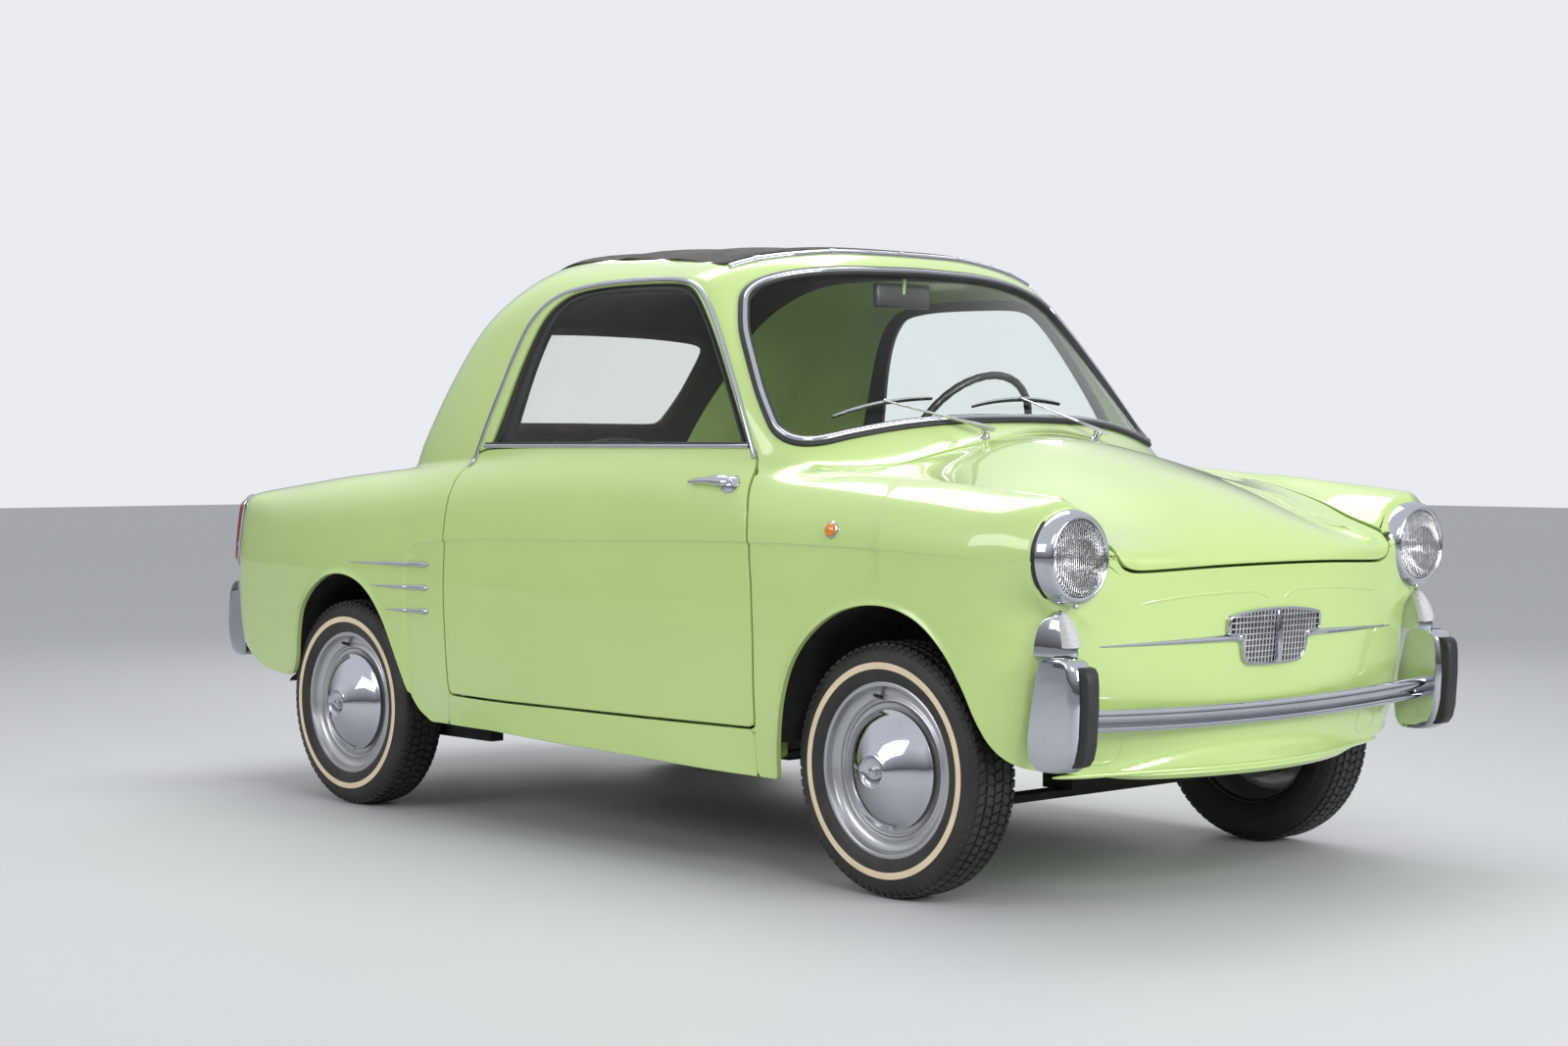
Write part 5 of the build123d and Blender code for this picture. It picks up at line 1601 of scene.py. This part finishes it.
def tunnel(name, arch, inner_side, sign):
    """A sleeve from the arch in the skin to an upright inner wall."""
    outline = arch[arch[:, 1] > tunnel_low]
    away = outline - outline.mean(0)
    away /= np.linalg.norm(away, axis=1)[:, None]
    near, far = outline + away * .01, outline + away * .013
    band = np.concatenate([near, far[::-1]])
    skin = side_line(*band.T, sign)
    outer = [(x, sign * (min(abs(y), .66) - .01), z) for (x, z), y in zip(band, skin[:, 1])]
    inner = [(x, sign * inner_side, z) for x, z in band]
    sleeve = loft(name, [outer, inner], underseal, soft=30)
    wall = [[(x, sign * y, z) for x, z in far] for y in (inner_side, inner_side - .003)]
    fuse([sleeve, loft("wall", wall, underseal, soft=30)], name, replaced=("wheel_houses",))


for side, sign in sides:
    tunnel(f"{side}_front_tunnel", front_arch_loop, .375, sign)
    tunnel(f"{side}_rear_tunnel", rear_arch_loop, .44, sign)

# %% Floor, luggage tub and shelf
block("floor_plate", (-.46, -.59, .238), (.7, .59, .246), underseal, bevel=.003, replaced=("floor_pan",))
for side, sign in sides:
    block(f"{side}_floor_mat", (-.44, sign * .07, .2462), (.64, sign * .575, .253), carpet, bevel=.003)
    block(f"{side}_sill_box", (-.4, sign * .578, .242), (.69, sign * .632, .294), inner_paint, bevel=.008, segments=3)
    for x in np.linspace(-.36, .6, 8):
        name = f"{side}_floor_rib_{int(round(x * 100)) + 50}"
        block(name, (x - .014, sign * .09, .233), (x + .014, sign * .5, .2385), underseal, bevel=.003)
block("floor_tunnel", (-.45, -.065, .24), (.66, .065, .295), carpet, bevel=.02, segments=4)
block("gear_boot", (.1, -.035, .283), (.2, .035, .31), rubber, bevel=.012, segments=4)
rod("gear_lever", (.15, 0, .3), (.085, 0, .52), .0055, chrome, thin=.0045)
ball("gear_knob", (.082, 0, .53), .019, black_plastic, stretch=(1, 1, 1.1))
rod("hand_brake", (-.02, 0, .292), (-.2, 0, .335), .008, black_plastic, thin=.011, bevel=.003)

bpy.ops.mesh.primitive_cube_add(size=1, location=(1.005, 0, .5), scale=(.63, .72, .44))
tub = bpy.context.object
bpy.ops.object.mode_set(mode="EDIT")
bpy.ops.mesh.select_all(action="DESELECT")
bpy.ops.object.mode_set(mode="OBJECT")
for face in tub.data.polygons:
    face.select = face.normal.z > .5
bpy.ops.object.mode_set(mode="EDIT")
bpy.ops.mesh.inset(thickness=.012)
bpy.ops.mesh.extrude_region_move(TRANSFORM_OT_translate={"value": (0, 0, -.4)})
bpy.ops.object.mode_set(mode="OBJECT")
keep(tub, "luggage_tub", inner_paint, bevel=.006, segments=3, replaced=("front_bulkhead",))
block("rear_shelf", (-.745, -.47, .79), (-.56, .47, .802), carpet, bevel=.004)

# %% [markdown]
# ## Engine
#
# The engine hangs low behind the rear axle and shows below the bumper: a cast case with cooling fins, a
# bell housing with the gearbox in front of it, a sheet-metal cowl and a round silencer across the rear.

# %% Engine
block("engine_case", (-1.3, -.125, .262), (-1.04, .125, .43), bare_steel, bevel=.022, segments=4,
      replaced=("engine",))
fin, fin_pitch = block("fin", (-1.285, -.135, .252), (-1.2795, .135, .3), bare_steel, bevel=.001), .0205
fuse([fin] + [copy_of(fin, "fin", Matrix.Translation((i * fin_pitch, 0, 0))) for i in range(1, 12)], "engine_fins")
block("engine_cowl", (-1.345, -.15, .42), (-1.01, .15, .6), black_plastic, bevel=.035, segments=5)
lathe("gearbox", [(0, .125), (.02, .132), (.06, .128), (.09, .098), (.2, .086), (.29, .07), (.33, .058), (.345, .03),
    (.345, 0), (0, 0)], (-1.045, 0, .335), (1, 0, 0), bare_steel, steps=48)
silencer_end = [(.158, .052), (.165, .0545), (.172, .052), (.184, .046), (.19, .03), (.19, 0)]
silencer_outline = [(-a, r) for a, r in silencer_end[-2::-1]] + silencer_end + [(-.19, 0)]
lathe("silencer", silencer_outline, (-1.352, 0, .305), (0, 1, 0), underseal, steps=48)
lathe("tail_pipe", [(0, .0175), (.118, .0175), (.12, .0168), (.118, .0158), (0, .0158)], (-1.345, .205, .285),
    (-1, 0, -.04), dull_chrome, steps=32)
rod("silencer_pipe", (-1.352, .15, .29), (-1.352, .214, .286), .0165, underseal, bevel=.004)
for side, sign in sides:
    rod(f"{side}_drive_shaft", (-.8375, sign * .06, .33), (-.8375, sign * .5, .25), .014, underseal, bevel=.002)

# %% [markdown]
# ## Inside the cabin
#
# A thin two-spoke wheel, a painted dashboard with one round dial, two low seats and a small mirror. The
# steering wheel is a torus with grips for the fingers, tilted to its column.

# %% Steering wheel
wheel_centre = centre_of("steering_wheel")
tilt = radians(29.5)
to_driver = Vector((-cos(tilt), 0, sin(tilt)))


def wheel_way(turn):
    """The way from the middle of the steering wheel to its rim, at an angle from its left side."""
    return Vector((0, cos(turn), 0)) + Vector((sin(tilt), 0, cos(tilt))) * sin(turn)


turns = np.arange(144) * 2 * pi / 144
rim_out = np.array([wheel_way(t) for t in turns])
grip = 1 + .1 * np.abs(np.sin(turns * 18)) ** .7
sweep("steering_rim", np.array(wheel_centre) + .19 * rim_out, rim_out, round_profile(.0088, 14), black_plastic,
      "steering_wheel", closed=True, size=grip, soft=60, replaced=("steering_wheel",))
spokes = []
for turn in (radians(-12), radians(192)):
    way = wheel_way(turn)
    for side in (-1, 1):
        off = wheel_centre + to_driver.cross(way) * .011 * side
        spokes.append(rod("steering_spoke", off - to_driver * .022, off + way * .186, .0032, chrome, "steering_wheel",
                          vertices=12))
fuse(spokes, "steering_spokes", "steering_wheel")
lathe("steering_hub", [(-.06, .022), (-.03, .03), (-.018, .032), (-.008, .028), (-.002, .018), (0, 0), (-.06, 0)],
      wheel_centre, to_driver, black_plastic, "steering_wheel", steps=40)
lathe("horn_button", [(-.004, .015), (.002, .0145), (.0045, .01), (.005, 0), (-.004, 0)], wheel_centre, to_driver,
      chrome, "steering_wheel", steps=32)

# %% Dashboard and mirror
rearwards = (-1.0, 0, 0)
dash_line = np.array([(.64 + .02 * (y / .5) ** 2, y, .8) for y in np.linspace(-.545, .545, 41)])
dash_section = [(-.052, -.03), (-.052, .03), (-.044, .042), (-.03, .048), (.03, .04), (.046, .03), (.05, .018),
    (.05, -.03)]
sweep("dashboard_panel", dash_line, rearwards, dash_section, inner_paint, soft=35, replaced=("dashboard",))
shelf_section = [(-.01, -.05), (-.01, .028), (-.004, .034), (.004, .034), (.008, .028), (.004, -.05)]
shelf_line = dash_line[3:-3] * (1, .94, 1) + (.036, 0, .044)
sweep("dashboard_top", shelf_line, rearwards, shelf_section, black_plastic, soft=35)
sweep("dashboard_strip", dash_line + (-.044, 0, -.012), rearwards, bar_profile(.005, .004, .002), chrome)
for name, outline, material in (("shell", [(-.03, .058), (.022, .06), (.028, .057), (.029, .053), (.02, .052),
    (.016, .05), (-.03, .05)], black_plastic), ("face", [(.01, .0505), (.013, .05), (.013, 0), (.01, 0)], piping),
    ("ring", [(.018, .0535), (.0235, .054), (.0255, .0515), (.0235, .0495), (.018, .05)], chrome)):
    lathe(f"dial_{name}", outline, (.585, .3, .835), (-.96, 0, .28), material, steps=56)
knob_outline = [(0, .006), (.012, .006), (.014, .01), (.022, .01), (.024, .007), (.024, 0), (0, 0)]
for y in (.1, .04, -.02, -.08):
    lathe(f"dash_knob_{int(round(y * 100)) + 10}", knob_outline, (.598, y, .8), rearwards, black_plastic, steps=24)
mirror_place = centre_of("mirror")
for name, low, high, material, more in (
        ("shell", (-.005, -.085, -.03), (.009, .085, .024), black_plastic,
         {"bevel": .006, "segments": 3, "replaced": ("mirror",)}),
        ("glass", (-.0062, -.081, -.0265), (-.0042, .081, .0205), chrome, {"bevel": .0008})):
    block(f"mirror_{name}", mirror_place + Vector(low), mirror_place + Vector(high), material, **more)
rod("mirror_stalk", mirror_place + Vector((.006, 0, 0)), mirror_place + Vector((.012, 0, .062)), .0048, inner_paint,
    bevel=.001)
block("mirror_bracket", mirror_place + Vector((.002, -.016, .05)), mirror_place + Vector((.022, .016, .072)),
      inner_paint, bevel=.003)

# %% [markdown]
# ## Seats
#
# A seat cushion is a pad in a sewn cover: its faces swell and its edges pull in at the piping. Blender's
# cloth does that. A rounded block is remeshed to small even faces, blown up a little with gravity off,
# and held close to where it started. The fluted stitching comes after it, because remeshing removes it.

# %% A cushion
def blow_up(made, force, steps):
    """Lets the cloth simulation swell a closed mesh, and keeps the result."""
    cloth = made.modifiers.new("cloth", "CLOTH")
    cloth.settings.use_pressure, cloth.settings.uniform_pressure_force = True, force
    cloth.settings.effector_weights.gravity = 0
    for step in range(1, steps + 1):
        bpy.context.scene.frame_set(step)
    pick(made)
    bpy.ops.object.modifier_apply(modifier=cloth.name)
    bpy.context.scene.frame_set(1)


def places(made):
    points = np.empty(len(made.data.vertices) * 3)
    made.data.vertices.foreach_get("co", points)
    return points.reshape(-1, 3)


def cushion(name, low, high, lean=0, round_top=0, flutes=7, swell=.01):
    """A padded block, leant back about its lower edge, with sewn flutes across its width."""
    low, high = Vector(low), Vector(high)
    centre, half = (low + high) / 2, (high - low) / 2
    bpy.ops.mesh.primitive_cube_add(size=1, location=centre, scale=high - low)
    made = bpy.context.object
    bpy.ops.object.transform_apply(location=True, rotation=True, scale=True)
    modify(made, "BEVEL", width=.03, segments=4)
    modify(made, "REMESH", mode="VOXEL", voxel_size=.011)
    for vertex in made.data.vertices:
        t = min(abs(vertex.co.y - centre.y) / half.y, 1)
        vertex.co.z -= round_top * t ** 2.4 * max(0, (vertex.co.z - low.z) / (high.z - low.z))
    start = places(made)
    blow_up(made, 4, 16)
    move = places(made) - start
    points = start + move * np.minimum(1, swell / np.maximum(np.linalg.norm(move, axis=1)[:, None], 1e-9))
    wide = np.clip(1 - np.abs(points[:, 1] - centre.y) / half.y, 0, 1)
    sewn = np.abs(np.cos((points[:, 1] - low.y) / (high.y - low.y) * pi * flutes)) ** 14
    thin = 0 if lean else 2
    points[:, thin] -= np.sign(points[:, thin] - centre[thin]) * .0045 * sewn * ease(wide * 5)
    if lean:
        x, z = points[:, 0] - high.x, points[:, 2] - low.z
        points[:, 0] = high.x + cos(lean) * x - sin(lean) * z
        points[:, 2] = low.z + sin(lean) * x + cos(lean) * z
    made.data.vertices.foreach_set("co", points.ravel())
    made.data.update()
    pick(made)
    modify(made, "SUBSURF", levels=1, render_levels=1)
    return keep(made, name, seat_cloth, soft=80)


# %% Both seats
low, high = (Vector(corner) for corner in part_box("left_seat"))
print("seat", [round(v, 3) for v in (*low, *high)])
base = cushion("left_seat_cushion", (low.x + .075, low.y + .012, low.z + .085),
               (high.x - .012, high.y - .012, low.z + .205))
back = cushion("left_seat_back", (low.x + .085, low.y + .015, low.z + .185),
               (low.x + .165, high.y - .015, high.z + .003), lean=radians(8), round_top=.075)
bars = []
for y in (low.y + .05, high.y - .05):
    for start, end, radius in (((low.x + .09, .02), (high.x - .03, .02), .01),
                               ((low.x + .11, .02), (low.x + .13, .12), .008),
                               ((high.x - .07, .02), (high.x - .07, .12), .008)):
        bars.append(rod("seat_bar", *((x, y, low.z + rise) for x, rise in (start, end)), radius, bare_steel))
seam = [(low.x + .073, low.y + .045), (low.x + .12, low.y + .008), (high.x - .06, low.y + .008),
        (high.x - .012, low.y + .05)]
seam = [(x, y, low.z + .15) for x, y in seam + [(x, low.y + high.y - y) for x, y in seam[::-1]]]
seam = evenly(smooth_line(seam), .012, closed=True)
cord = sweep("left_seat_piping", seam, (0, 0, 1.0), round_profile(.0045, 8), piping, closed=True, soft=70)
shift = Matrix.Translation(Vector(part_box("right_seat")[0]) - low)
for piece in (base, back, fuse(bars, "left_seat_frame"), cord):
    made = copy_of(piece, piece.name.replace("left", "right"), shift)
    for one, side in ((piece, "left"), (made, "right")):
        if piece is base:
            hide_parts(f"{side}_seat")

# %% Door cards
boss_outline = [(0, .018), (.008, .017), (.012, .01), (.018, .008), (.018, 0), (0, 0)]
for side, sign in sides:
    door = f"{side}_door"
    panel(f"{side}_door_card", lambda p: np.minimum(door_field(p) - .022, .845 - p[:, 2]), seat_cloth, door,
          thick=.004, edge=.004, lift=-.0435, where=lambda p: p[:, 1] * sign > 0)
    skin, outward = seat_of(side_line(.3, .68, sign))
    place, arm = skin - outward * .047, Vector((.09, 0, -.03))
    lathe(f"{side}_winder_boss", boss_outline, place, -outward, chrome, door, steps=28)
    rod(f"{side}_winder_arm", place - outward * .015, place - outward * .022 + arm, .005, chrome, door, thin=.004)
    ball(f"{side}_winder_knob", place - outward * .03 + arm, .01, black_plastic, door)

# %% [markdown]
# ## Pieces of the imported model that stay
#
# The axle parts, the steering column and the bulkhead have the right shape, and only need a finish.

# %% Finishes for the kept pieces
kept = {"rear_bulkhead": inner_paint, "front_arms": underseal, "front_leaf_spring": underseal,
        "left_knuckle": bare_steel, "right_knuckle": bare_steel, "rear_swing_arms": underseal,
        "steering_column": black_plastic}
for node, material in kept.items():
    for slot in bpy.data.objects[node].material_slots:
        slot.material = material
print("kept:", ", ".join(kept))
